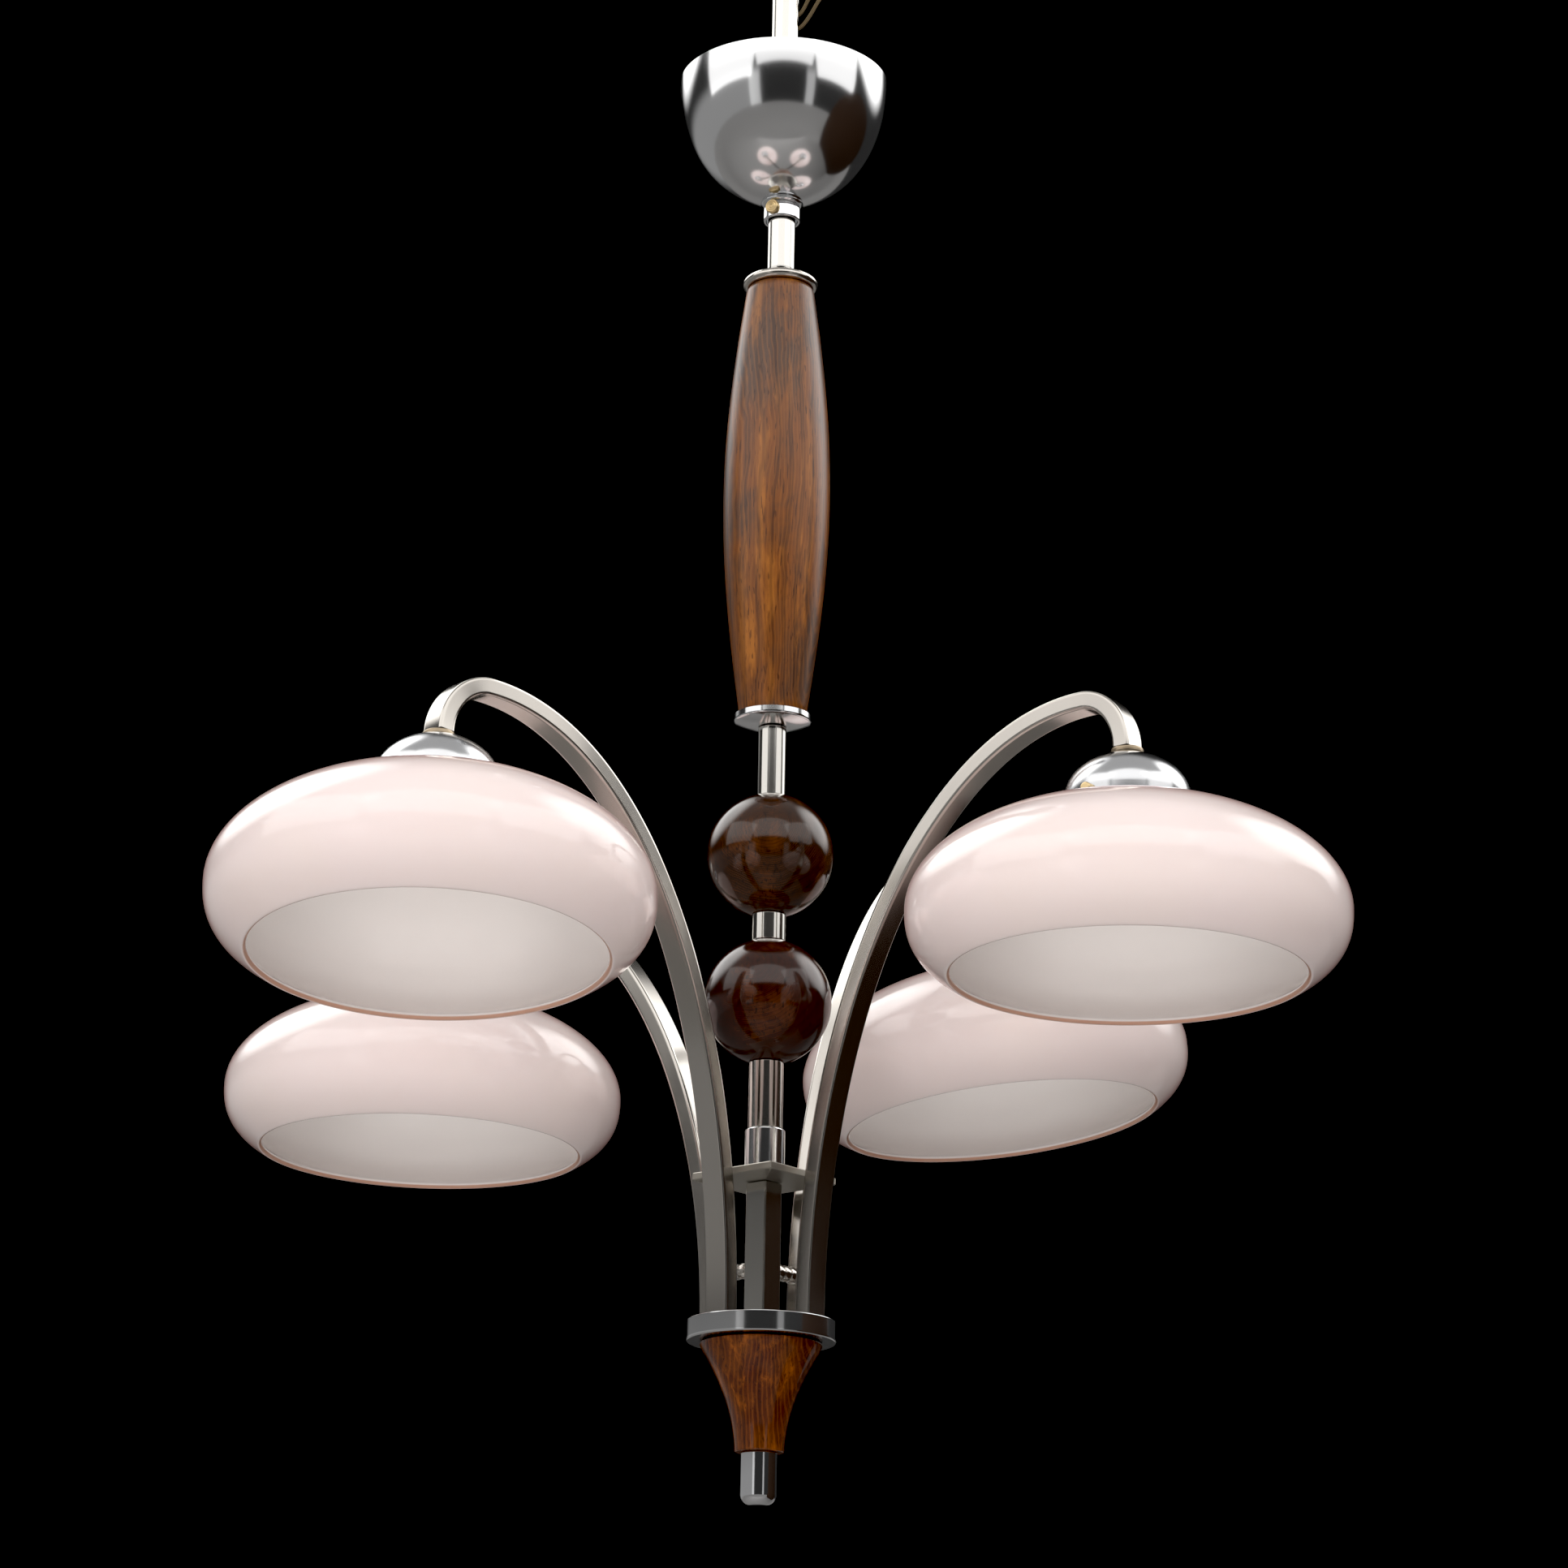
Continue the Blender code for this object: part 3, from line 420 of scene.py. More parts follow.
def surface(name, grid, material, texture=None, keep=None, sharp=38.0):
    """One quad between each four neighbours of a grid of points, rows by columns by 3.

    Rows or columns that come back to where they began are welded, and a row with no width closes to a
    pole. keep leaves out the quads where it is false.
    """
    rows, columns = grid.shape[:2]
    corner = np.arange(rows * columns).reshape(rows, columns)
    quads = np.stack([corner[:-1, :-1], corner[:-1, 1:], corner[1:, 1:], corner[1:, :-1]], axis=-1)
    quads = quads.reshape(-1, 4) if keep is None else quads[keep]
    mesh = bpy.data.meshes.new(name)
    mesh.from_pydata(grid.reshape(-1, 3).tolist(), [], quads.tolist())
    if texture is not None:
        layer = mesh.uv_layers.new(name="UVMap")
        layer.data.foreach_set("uv", texture.reshape(-1, 2)[quads.ravel()].ravel().astype(np.float32))
    welded = bmesh.new()
    welded.from_mesh(mesh)
    bmesh.ops.remove_doubles(welded, verts=welded.verts, dist=1e-7)
    bmesh.ops.dissolve_degenerate(welded, edges=welded.edges, dist=1e-8)
    bmesh.ops.recalc_face_normals(welded, faces=welded.faces)
    welded.to_mesh(mesh)
    welded.free()
    mesh.shade_smooth()
    mesh.set_sharp_from_angle(angle=math.radians(sharp))
    mesh.materials.append(material)
    made = bpy.data.objects.new(name, mesh)
    bpy.context.scene.collection.objects.link(made)
    return made


def show(made, node, body="frame"):
    """Stand a finished surface in for its CAD node and let it ride on that node's body."""
    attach(made, body)
    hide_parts(node)
    return made


def run_length(line):
    """Distance along a line of points, from 0 at its first."""
    steps = np.linalg.norm(np.diff(line, axis=0), axis=1)
    return np.concatenate([[0.0], np.cumsum(steps)])


def softened(corners, radius, closed=False, steps=5):
    """A line of points with each corner replaced by a parabola that starts radius before the corner and
    ends radius after it, or half the side's length if that is shorter: (1-t)^2 A + 2t(1-t) C + t^2 B."""
    corners = np.asarray(corners, float)
    radius = np.broadcast_to(np.asarray(radius, float), len(corners))[:, None]
    before, after = np.roll(corners, 1, axis=0), np.roll(corners, -1, axis=0)
    to_before, to_after = before - corners, after - corners
    near = np.linalg.norm(to_before, axis=1, keepdims=True)
    far = np.linalg.norm(to_after, axis=1, keepdims=True)
    a = corners + to_before / near * np.minimum(radius, near * 0.49)
    b = corners + to_after / far * np.minimum(radius, far * 0.49)
    t = np.linspace(0, 1, steps)[None, :, None]
    arcs = (1 - t) ** 2 * a[:, None] + 2 * t * (1 - t) * corners[:, None] + t**2 * b[:, None]
    start = corners + to_before / near * np.minimum(radius * 1.3, near * 0.495)
    end = corners + to_after / far * np.minimum(radius * 1.3, far * 0.495)
    arcs = np.concatenate([start[:, None], arcs, end[:, None]], axis=1)
    if closed:
        line = arcs.reshape(-1, 2)
        return np.vstack([line, line[:1]])
    return np.vstack([corners[:1], arcs[1:-1].reshape(-1, 2), corners[-1:]])


def inset(line, wall):
    """The line moved sideways by wall, to the left of its run."""
    slope = np.gradient(line, axis=0)
    slope /= np.linalg.norm(slope, axis=1, keepdims=True)
    return line + wall * np.column_stack([-slope[:, 1], slope[:, 0]])


def placed(grid, origin=(0, 0, 0), turn=None):
    """The grid turned by a 3 by 3 matrix and moved to origin."""
    turned_grid = grid if turn is None else grid @ np.asarray(turn).T
    return turned_grid + np.asarray(origin)


def spun(profile, steps):
    """Grid of a profile (radius, height) carried round Z: (r cos a, r sin a, h), with its U (turn) and V
    (distance along the profile)."""
    turn = np.linspace(0, math.tau, steps + 1)
    radius, height = profile[:, :1], profile[:, 1:]
    grid = np.stack(
        [radius * np.cos(turn), radius * np.sin(turn), np.broadcast_to(height, (len(profile), len(turn)))],
        axis=-1,
    )
    along = run_length(profile)[:, None]
    texture = np.stack(np.broadcast_arrays(turn[None] / math.tau, along), axis=-1)
    return grid, texture


def turned(name, profile, material, steps=64, origin=(0, 0, 0), turn=None, sharp=38.0):
    """A lathe-turned piece: spun profile, then placed."""
    grid, texture = spun(np.asarray(profile, float), steps)
    return surface(name, placed(grid, origin, turn), material, texture, sharp=sharp)


def bored(bottom, top, radius, bore):
    """Closed outline of a tube between two stack heights."""
    corners = [(bore, bottom), (radius, bottom), (radius, top), (bore, top)]
    return raised(softened(corners, 0.0004, closed=True, steps=4))


def radial_turn(angle):
    """3 by 3 turn that lays local Z along the horizontal direction at angle, with local X down."""
    outward = np.array([math.cos(angle), math.sin(angle), 0.0])
    side = np.array([-math.sin(angle), math.cos(angle), 0.0])
    return np.column_stack([np.array([0.0, 0.0, -1.0]), side, outward])


def rounded_section(width, depth, radius, steps=5):
    """Closed outline of a rectangle with its corners rounded."""
    x, y = width / 2, depth / 2
    return softened([(-x, -y), (x, -y), (x, y), (-x, y)], radius, closed=True, steps=steps)


def prism(section, levels):
    """Grid of a section carried up through levels of (z, scale): (s x, s y, z), shut at both ends."""
    levels = np.array([(levels[0][0], 0.0), *levels, (levels[-1][0], 0.0)])
    scaled = section[None] * levels[:, 1, None, None]
    height = np.broadcast_to(levels[:, 0, None, None], (*scaled.shape[:2], 1))
    grid = np.concatenate([scaled, height], axis=-1)
    round_run = run_length(section)[None]
    texture = np.stack(np.broadcast_arrays(round_run, levels[:, :1]), axis=-1)
    return grid, texture


def smooth_line(points, steps=10):
    """Catmull-Rom curve through points: each span is the cubic whose end slopes are half the chord
    between the neighbours."""
    p = np.asarray(points, float)
    p = np.vstack([2 * p[0] - p[1], p, 2 * p[-1] - p[-2]])
    a, b, c, d = (q[:, None] for q in (p[:-3], p[1:-2], p[2:-1], p[3:]))
    t = np.arange(steps)[None, :, None] / steps
    spans = 0.5 * (
        2 * b + (c - a) * t + (2 * a - 5 * b + 4 * c - d) * t**2 + (3 * b - a - 3 * c + d) * t**3
    )
    return np.vstack([spans.reshape(-1, p.shape[1]), p[-2]])


def pipe(path, radius, steps=16):
    """Grid of a circle carried along a path that lies in one upright plane, shut at both ends."""
    slope = np.gradient(path, axis=0)
    slope /= np.linalg.norm(slope, axis=1, keepdims=True)
    side = np.array([-math.sin(SLOT_TURN), math.cos(SLOT_TURN), 0.0])
    lift_way = np.cross(slope, side)
    turn = np.linspace(0, math.tau, steps + 1)[None, :, None]
    rings = path[:, None] + radius * (np.cos(turn) * side + np.sin(turn) * lift_way[:, None])
    ends = [np.broadcast_to(path[i], (1, steps + 1, 3)) for i in (0, -1)]
    grid = np.concatenate([ends[0], rings, ends[1]])
    along = run_length(grid[:, 0])[:, None]
    texture = np.stack(np.broadcast_arrays(turn[0, :, 0][None] / math.tau, along), axis=-1)
    return grid, texture


# ---------------------------------------------------------------- rod, eye and wires
def make_rod(sizes):
    """The slotted hanging rod: a cylinder with the slot's quads left out, given a wall by Solidify."""
    low, high = 0.5041, 0.6640
    slot_low, slot_high, half = 0.6345, 0.6480, math.asin(0.0021 / sizes.tube_radius)
    heights = np.concatenate(
        [
            np.linspace(low, slot_low, 24),
            np.linspace(slot_low, slot_high, 6)[1:],
            np.linspace(slot_high, high, 6)[1:],
        ]
    )
    inside = np.linspace(-half, half, 7)
    turn = SLOT_TURN + np.concatenate([inside, np.linspace(half, math.tau - half, 50)[1:]])
    grid = np.stack(
        [
            np.broadcast_to(sizes.tube_radius * np.cos(turn), (len(heights), len(turn))),
            np.broadcast_to(sizes.tube_radius * np.sin(turn), (len(heights), len(turn))),
            np.broadcast_to(lift(heights)[:, None], (len(heights), len(turn))),
        ],
        axis=-1,
    )
    texture = np.stack(np.broadcast_arrays(turn[None] / math.tau, heights[:, None]), axis=-1)
    middle_height = (heights[1:] + heights[:-1]) / 2
    middle_turn = (turn[1:] + turn[:-1]) / 2 - SLOT_TURN
    level_with_slot = (middle_height > slot_low) & (middle_height < slot_high)
    in_slot = level_with_slot[:, None] & (abs(middle_turn) < half)
    rod = surface("hanging_rod_tube", grid, bpy.data.materials["nickel"], texture, keep=~in_slot)
    wall = rod.modifiers.new("wall", "SOLIDIFY")
    wall.thickness = 0.0012
    wall.offset = -1
    wall.use_even_offset = True
    return show(rod, "hanging_rod")


def make_eye(sizes):
    """The hanging eye: a torus in the slot's plane, on a shank that plugs the rod."""
    steel = bpy.data.materials["steel"]
    middle, thickness = 0.0105, 0.0025
    ring_turn = np.linspace(0, math.tau, 33)
    outline = np.column_stack([middle + thickness * np.cos(ring_turn), thickness * np.sin(ring_turn)])
    upright = np.column_stack(
        [
            [math.cos(SLOT_TURN), math.sin(SLOT_TURN), 0.0],
            [0.0, 0.0, 1.0],
            [math.sin(SLOT_TURN), -math.cos(SLOT_TURN), 0.0],
        ]
    )
    ring = turned("hanging_eye_ring", outline, steel, 64, (0, 0, thickness - middle), upright)
    show(ring, "hanging_eye")
    corners = [
        (0, 0.6560), (0.0050, 0.6560), (0.0050, 0.6643), (sizes.tube_radius, 0.6643),
        (sizes.tube_radius, 0.6668), (0.0042, 0.6690), (0.0030, 0.6705), (0, 0.6708),
    ]
    shank = turned("hanging_eye_shank", raised(softened(corners, 0.0005)), steel, 48)
    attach(shank, "frame")


def make_wires(colours):
    """The two braided supply wires and the porcelain terminal block that they end in."""
    outward = np.array([math.cos(SLOT_TURN), math.sin(SLOT_TURN), 0.0])
    size = (0.0170, 0.0120, 0.0130)
    section = rounded_section(size[0], size[1], 0.0025)
    edge = [(0.0, 0.93), (0.0002, 0.97), (0.0008, 1.0)]
    levels = edge + [(size[2] - height, scale) for height, scale in reversed(edge)]
    grid, texture = prism(section, levels)
    turn = np.column_stack([outward, [-outward[1], outward[0], 0], [0, 0, 1.0]])
    origin = outward * (0.0145 + size[0] / 2) + np.array([0, 0, lift(0.6715)])
    porcelain = bpy.data.materials["porcelain"]
    block = surface("terminal_block_body", placed(grid, origin, turn), porcelain, texture)
    show(block, "terminal_block")
    cloth = braid(colours.wire[:])
    for node, route in WIRE_ROUTES.items():
        line = smooth_line(route)
        path = line[:, :1] * outward + np.array([0, 0, 1.0]) * lift(line[:, 1:])
        grid, texture = pipe(path, 0.00095)
        wire = surface(node + "_braid", grid, cloth, texture)
        show(wire, node)


# ---------------------------------------------------------------- canopy
def canopy_profile(sizes):
    """Closed outline of the canopy: the bowl r = R cos(t)^p, h = rim - D sin(t)^p with p of 2/2.15, outside
    and inside, above a short flared neck."""
    power, wall, rim_height, radius = 2 / 2.15, 0.0009, 0.6063, sizes.canopy_radius
    turn = np.linspace(0, math.radians(80), 60)
    bowl = np.column_stack(
        [radius * np.cos(turn) ** power, rim_height - sizes.canopy_depth * np.sin(turn) ** power]
    )
    inside = inset(bowl, -wall)[::-1]
    foot = softened([bowl[-1], (0.0102, 0.5436), (0.0088, 0.5423), (0.0074, 0.5423), inside[0]], 0.0007)
    rim = softened([inside[-1], (radius - wall, rim_height), (radius, rim_height)], 0.0002)
    return raised(np.vstack([bowl, foot[1:-1], inside, rim[1:]]))


def make_canopy(sizes):
    """The chromed bowl, its collar, and the brass screw with turned rings on its head."""
    chrome = bpy.data.materials["chrome"]
    bowl = turned("canopy_bowl", canopy_profile(sizes), chrome, sizes.round_steps)
    show(bowl, "canopy", "canopy")
    corners = [
        (0.0074, 0.5345), (0.0085, 0.5345), (0.0088, 0.5350), (0.0088, 0.5408), (0.0083, 0.5413),
        (0.0083, 0.5420), (0.0074, 0.5420),
    ]
    collar = raised(softened(corners, 0.0003, closed=True, steps=4))
    show(turned("canopy_collar_ring", collar, chrome, 64), "canopy_collar", "canopy")
    corners = [
        (0, 0.0068), (0.0015, 0.0068), (0.0015, 0.0091), (0.0034, 0.0091), (0.0034, 0.0104),
        (0.0030, 0.0109), (0.0025, 0.0109), (0.0024, 0.01065), (0.0022, 0.0109), (0.0016, 0.0110),
        (0.0015, 0.01075), (0.0013, 0.0110), (0.0008, 0.0111), (0.0005, 0.0107), (0, 0.0106),
    ]
    screw = turned(
        "canopy_screw_head",
        softened(corners, 0.00015, steps=3),
        bpy.data.materials["brass"],
        48,
        (0, 0, lift(0.5388)),
        radial_turn(math.radians(-78)),
    )
    show(screw, "canopy_set_screw", "canopy_screw")


# ---------------------------------------------------------------- the turned stack
def make_washers(sizes):
    """The rounded washer on top of the spindle and the domed one under it."""
    radius = sizes.washer_radius
    turn = np.linspace(-math.pi / 2, math.pi / 2, 24)
    half = 0.00225
    edge = np.column_stack([radius - half + half * np.cos(turn), 0.50155 + half * np.sin(turn)])
    outline = np.vstack([[(BORE_RADIUS, 0.4993)], edge, [(BORE_RADIUS, 0.5038), (BORE_RADIUS, 0.4993)]])
    top = turned("top_washer", raised(outline), bpy.data.materials["worn_nickel"], 80)
    show(top, "spindle_top_washer")
    share = np.linspace(0, 1, 24)
    dome = np.column_stack(
        [radius - 0.0005 - (radius - 0.0070) * share, 0.2834 - 0.0020 * share * (2 - share)]
    )
    ends = [(radius, 0.2867), (BORE_RADIUS, 0.2867), (BORE_RADIUS, 0.2813)]
    side = softened([dome[0], (radius, 0.2838), (radius, 0.2867)], 0.0006)[1:-1]
    outline = np.vstack([dome[::-1], side, ends, dome[-1:]])
    bottom = turned("bottom_washer", raised(outline), bpy.data.materials["chrome"], 80)
    show(bottom, "spindle_bottom_washer")


def make_spindle(sizes):
    """The spindle: r = neck + swell cos(pi (h - middle) / wave), with eased ends."""
    low, high, middle, wave, ease = 0.2870, 0.4990, 0.3946, 0.220, 0.0004
    height = np.linspace(low, high, 120)
    radius = sizes.spindle_neck + sizes.spindle_swell * np.cos(math.pi * (height - middle) / wave)
    radius -= 0.0006 * (np.exp(-(height - low) / ease) + np.exp(-(high - height) / ease))
    side = np.column_stack([radius, height])
    outline = np.vstack([[(BORE_RADIUS, low)], side, [(BORE_RADIUS, high), (BORE_RADIUS, low)]])
    made = turned("spindle_wood", raised(outline), bpy.data.materials["spindle_beech"], sizes.round_steps)
    show(made, "wood_spindle")


def make_balls(sizes):
    """The two turned balls, each a sphere with a small flat at both poles."""
    for node, height, material, slot in (
        ("upper_ball", UPPER_BALL, "ball_beech", "stained_beech"),
        ("lower_ball", LOWER_BALL, "ball_mahogany", "mahogany_stain"),
    ):
        radius = sizes.ball_radius
        flat = math.acos(BALL_FLAT / radius)
        turn = np.linspace(-flat, flat, 64)
        ball = np.column_stack([radius * np.cos(turn), height + radius * np.sin(turn)])
        low, high = (BORE_RADIUS, ball[0, 1]), (BORE_RADIUS, ball[-1, 1])
        outline = raised(np.vstack([[low], ball, [high, low]]))
        made = turned(node + "_wood", outline, bpy.data.materials[material], sizes.round_steps)
        show(made, node)


def make_stem(sizes):
    """The plain tubes between the spindle, the balls and the plate."""
    half = math.sqrt(sizes.ball_radius**2 - BALL_FLAT**2)
    for node, low, high, radius, material in (
        ("neck_tube", UPPER_BALL + half + GAP, 0.2810, sizes.tube_radius, "nickel"),
        ("ball_spacer", LOWER_BALL + half + GAP, UPPER_BALL - half - GAP, sizes.stem_radius, "nickel"),
        ("stem_tube", 0.0943, LOWER_BALL - half - GAP, sizes.stem_radius, "nickel"),
        ("stem_collar", 0.0742, 0.0940, 0.00895, "chrome"),
    ):
        outline = bored(low, high, radius, BORE_RADIUS)
        show(turned(node + "_skin", outline, bpy.data.materials[material], 64), node)


def make_base(sizes):
    """The plate that spreads the arms, the square column, the base disc and the finial with its tip."""
    chrome = bpy.data.materials["chrome"]
    for node, side, soft, low, high, material in (
        ("square_column", sizes.column_side, 0.0007, 0.0018, 0.0703, "nickel"),
        ("arm_spreader_plate", sizes.plate_side, 0.0006, 0.0706, 0.0739, "dull_nickel"),
    ):
        edge = 1 - 0.0008 / side
        levels = [(low, edge), (low + 0.0004, 1.0), (high - 0.0004, 1.0), (high, edge)]
        grid, texture = prism(rounded_section(side, side, soft), levels)
        grid = placed(grid, (0, 0, lift(0)))
        show(surface(node + "_bar", grid, bpy.data.materials[material], texture), node)
    radius = sizes.disc_radius
    corners = [
        (BORE_RADIUS, 0), (radius, 0), (radius, 0.0088), (radius - 0.0009, 0.0088),
        (radius - 0.0009, 0.0015), (BORE_RADIUS, 0.0015),
    ]
    outline = raised(softened(corners, (0.0002, 0.0008, 0.0003, 0.0003, 0.0008, 0.0002), closed=True))
    show(turned("base_disc_dish", outline, chrome, sizes.round_steps), "base_disc")
    share = np.linspace(0, 1, 60)
    flare = np.column_stack([0.0108 + 0.0161 * share**1.85, -0.0476 + 0.0458 * share])
    foot = softened([(BORE_RADIUS, -0.0476), (0.0108, -0.0476), flare[3]], 0.0006)
    top = softened([flare[-4], (0.0269, -0.0010), (0.0256, -0.0003), (0.0095, -0.0003)], 0.0008)
    pocket = [(0.0095, -0.0081), (BORE_RADIUS, -0.0081), (BORE_RADIUS, -0.0476)]
    outline = raised(np.vstack([foot, flare[4:-4], top, pocket]))
    made = turned("finial_wood", outline, bpy.data.materials["finial_beech"], sizes.round_steps)
    show(made, "wood_finial")
    turn = np.linspace(-math.pi / 2, 0, 16)
    end = np.column_stack([0.0035 + 0.0045 * np.cos(turn), -0.0657 + 0.0045 * np.sin(turn)])
    pocket = [(BORE_RADIUS, -0.0479), (BORE_RADIUS, -0.0638), (0, -0.0638)]
    corners = softened([end[-1], (0.0080, -0.0479), *pocket], 0.0004)
    outline = raised(np.vstack([[(0, -0.0702)], end, corners[1:]]))
    tip = turned("finial_tip_cap", outline, bpy.data.materials["pitted_chrome"], 64)
    show(tip, "finial_tip")


# ---------------------------------------------------------------- arms
def seat_of(side):
    """Where an arm ends, the 3 by 3 turn of what hangs there, and that turn's axis and angle."""
    direction, twist, extra, sag, lean = ARM_SETS[side]
    reach, end, angle = ARM_REACH + extra, ARM_END - sag, math.radians(direction + twist)
    seat = np.array([reach * math.cos(angle), reach * math.sin(angle), lift(end)])
    up = np.array([math.tan(math.radians(lean[0])), math.tan(math.radians(lean[1])), 1.0])
    up /= np.linalg.norm(up)
    axis = np.cross([0, 0, 1.0], up)
    axis /= np.linalg.norm(axis)
    tip = math.acos(up[2])
    turn = np.array(Matrix.Rotation(tip, 3, axis.tolist()))
    return seat, turn, axis, tip


def swung(vectors, axis, angle):
    """Vectors turned about axis by an angle each: v cos a + (k x v) sin a + k (k.v)(1 - cos a)."""
    along = (vectors @ axis)[..., None] * axis
    return vectors * np.cos(angle) + np.cross(axis, vectors) * np.sin(angle) + along * (1 - np.cos(angle))


def arm_line(reach, end):
    """Middle line of an arm (radius, height, slope): a straight foot, a quarter ellipse out and up to the
    crest, and a small quarter ellipse down to the seat."""
    crest_radius, crest = reach - HOOK_OUT, end + HOOK_RISE
    out, up = crest_radius - ARM_FOOT, crest - FOOT_TOP
    rise, drop = np.linspace(0, math.pi / 2, 72), np.linspace(0, math.pi / 2, 36)[1:]
    foot = np.array([(ARM_FOOT, 0.0018, math.pi / 2)])
    climb = np.column_stack(
        [
            crest_radius - out * np.cos(rise),
            FOOT_TOP + up * np.sin(rise),
            np.arctan2(up * np.cos(rise), out * np.sin(rise)),
        ]
    )
    hook = np.column_stack(
        [
            crest_radius + HOOK_OUT * np.sin(drop),
            end + HOOK_RISE * np.cos(drop),
            -np.arctan2(HOOK_RISE * np.sin(drop), HOOK_OUT * np.cos(drop)),
        ]
    )
    return np.vstack([foot, climb, hook])


def make_arms(sizes):
    """The four arms: a rounded rectangle carried along the arm's line, twisted and bent as each was set."""
    section = rounded_section(sizes.arm_width, sizes.arm_thickness, 0.0013)
    for side, (direction, twist, extra, sag, _) in ARM_SETS.items():
        seat, _, axis, tip = seat_of(side)
        reach, end = ARM_REACH + extra, ARM_END - sag
        radius, height, slope = arm_line(reach, end).T
        angle = np.radians(direction + twist * (radius - ARM_FOOT) / (reach - ARM_FOOT))
        zero = np.zeros_like(angle)
        outward = np.column_stack([np.cos(angle), np.sin(angle), zero])
        across = np.column_stack([-np.sin(angle), np.cos(angle), zero])
        along = outward * np.cos(slope)[:, None] + np.column_stack([zero, zero, np.sin(slope)])
        thick = np.cross(across, along)
        middle = outward * radius[:, None] + np.column_stack([zero, zero, lift(height)])
        rings = (
            middle[:, None] + across[:, None] * section[None, :, :1] + thick[:, None] * section[None, :, 1:]
        )
        ends = [np.broadcast_to(middle[i], rings[:1].shape) for i in (0, -1)]
        grid = np.concatenate([ends[0], rings, ends[1]])
        bend = np.clip((radius - (reach - HOOK_OUT)) / HOOK_OUT, 0, 1)
        bend = np.concatenate([bend[:1], bend, bend[-1:]])
        grid = seat + swung(grid - seat, axis, (tip * bend)[:, None, None])
        texture = np.stack(
            np.broadcast_arrays(run_length(section)[None], run_length(grid[:, 0])[:, None]), axis=-1
        )
        made = surface(f"arm_{side}_tube", grid, bpy.data.materials["arm_nickel"], texture)
        show(made, f"arm_{side}")


def make_nipples(sizes):
    """The ribbed nipples, in worn nickel, between the column and the two rear arms."""
    near, far = sizes.column_side / 2 + GAP, ARM_FOOT - sizes.arm_thickness / 2 - GAP
    place = np.linspace(near, far, 90)
    share = (place - near) / (far - near)
    radius = 0.0031 + 0.0005 * np.abs(np.cos(share * math.pi * 4)) ** 0.5 + 0.0004 * (share > 0.8)
    profile = np.vstack([[(0, near)], np.column_stack([radius, place]), [(0, far)]])
    for side in NIPPLE_ARMS:
        angle = math.radians(ARM_SETS[side][0])
        made = turned(
            f"nipple_{side}_ribs",
            profile,
            bpy.data.materials["worn_nickel"],
            40,
            (0, 0, lift(0.0325)),
            radial_turn(angle),
        )
        show(made, f"arm_nipple_{side}")


# ---------------------------------------------------------------- galleries, lampholders and shades
def shade_profile(sizes):
    """Closed outline of a shade from its rim up the outside, over the neck's lip and down the inside.

    Below the girth r = R cos(t)^p, h = G - L sin(t)^p with p of 2/2.475; above it the ellipse
    r = R cos(t), h = G + U sin(t). The rim is half a circle as wide as the wall.
    """
    radius, opening, girth, upper, exponent = sizes.shade_radius, sizes.shade_opening, 0.0275, 0.0471, 2.475
    power = 2 / exponent
    lower = girth / (1 - (opening / radius) ** exponent) ** (1 / exponent)
    start = math.asin((girth / lower) ** (1 / power))
    t = np.linspace(start, 0, 50)[:, None]
    below = np.hstack([radius * np.cos(t) ** power, girth - lower * np.sin(t) ** power])
    t = np.linspace(0, math.acos(0.0252 / radius), 70)[1:, None]
    above = np.hstack([radius * np.cos(t), girth + upper * np.sin(t)])
    outside = np.vstack([below, above])
    wall = sizes.shade_wall
    inside = inset(outside, wall)
    middle, out = (outside[0] + inside[0]) / 2, (outside[0] - inside[0]) / 2
    down = np.array([out[1], -out[0]])
    t = np.linspace(0, math.pi / 2, 7)[:, None]
    low_edge = middle + down * np.cos(t) + out * np.sin(t)
    high_edge = middle - out * np.sin(t[::-1]) + down * np.cos(t[::-1])
    neck = softened(
        [
            outside[-1], (0.0240, outside[-1, 1] + 0.0004), (0.0240, 0.0758), (0.0252, 0.0758),
            (0.0252, 0.0774), (0.0212, 0.0774), (0.0212, inside[-1, 1] + 0.0008), inside[-1],
        ],
        0.0005,
    )
    return np.vstack([low_edge, outside[1:-1], neck, inside[-2:0:-1], high_edge])


def gallery_profile():
    """Closed outline of the domed gallery: r = R cos(t), h = skirt top + rise sin(t) / sin(crown)."""
    top, rise, radius, wall = -0.0035, 0.0195, 0.0270, 0.0008
    crown = math.acos(0.0072 / radius)
    t = np.linspace(0, crown, 40)[:, None]
    outer = np.hstack([radius * np.cos(t), top - rise + rise / math.sin(crown) * np.sin(t)])
    inner = np.hstack([(radius - wall) * np.cos(t), outer[:, 1:] - wall * np.sin(t)])
    skirt = softened(
        [inner[0], (radius - wall, -0.0273), (radius + 0.0002, -0.0273), (radius, -0.0262), outer[0]], 0.0003
    )
    hole = [(0.0025, top), (0.0025, top - wall)]
    return np.vstack([skirt, outer[1:], hole, inner[::-1]])


def holder_profile():
    """Outline of a lampholder: spigot, shouldered cap, ribbed skirt ring, barrel and socket."""
    top, bottom = -0.0046, -0.0544
    corners = [
        (0, 0.0035), (0.0022, 0.0035), (0.0022, top), (0.0060, top), (0.0088, top - 0.0022),
        (0.0118, top - 0.0072), (0.0166, top - 0.0165), (0.0169, -0.0300), (0.0160, -0.0306),
        (0.0160, -0.0330), (0.0169, -0.0336), (0.0169, bottom + 0.0008), (0.0162, bottom),
        (0.0134, bottom), (0.0134, bottom + 0.0260), (0, bottom + 0.0260),
    ]
    return softened(corners, 0.0005, steps=4)


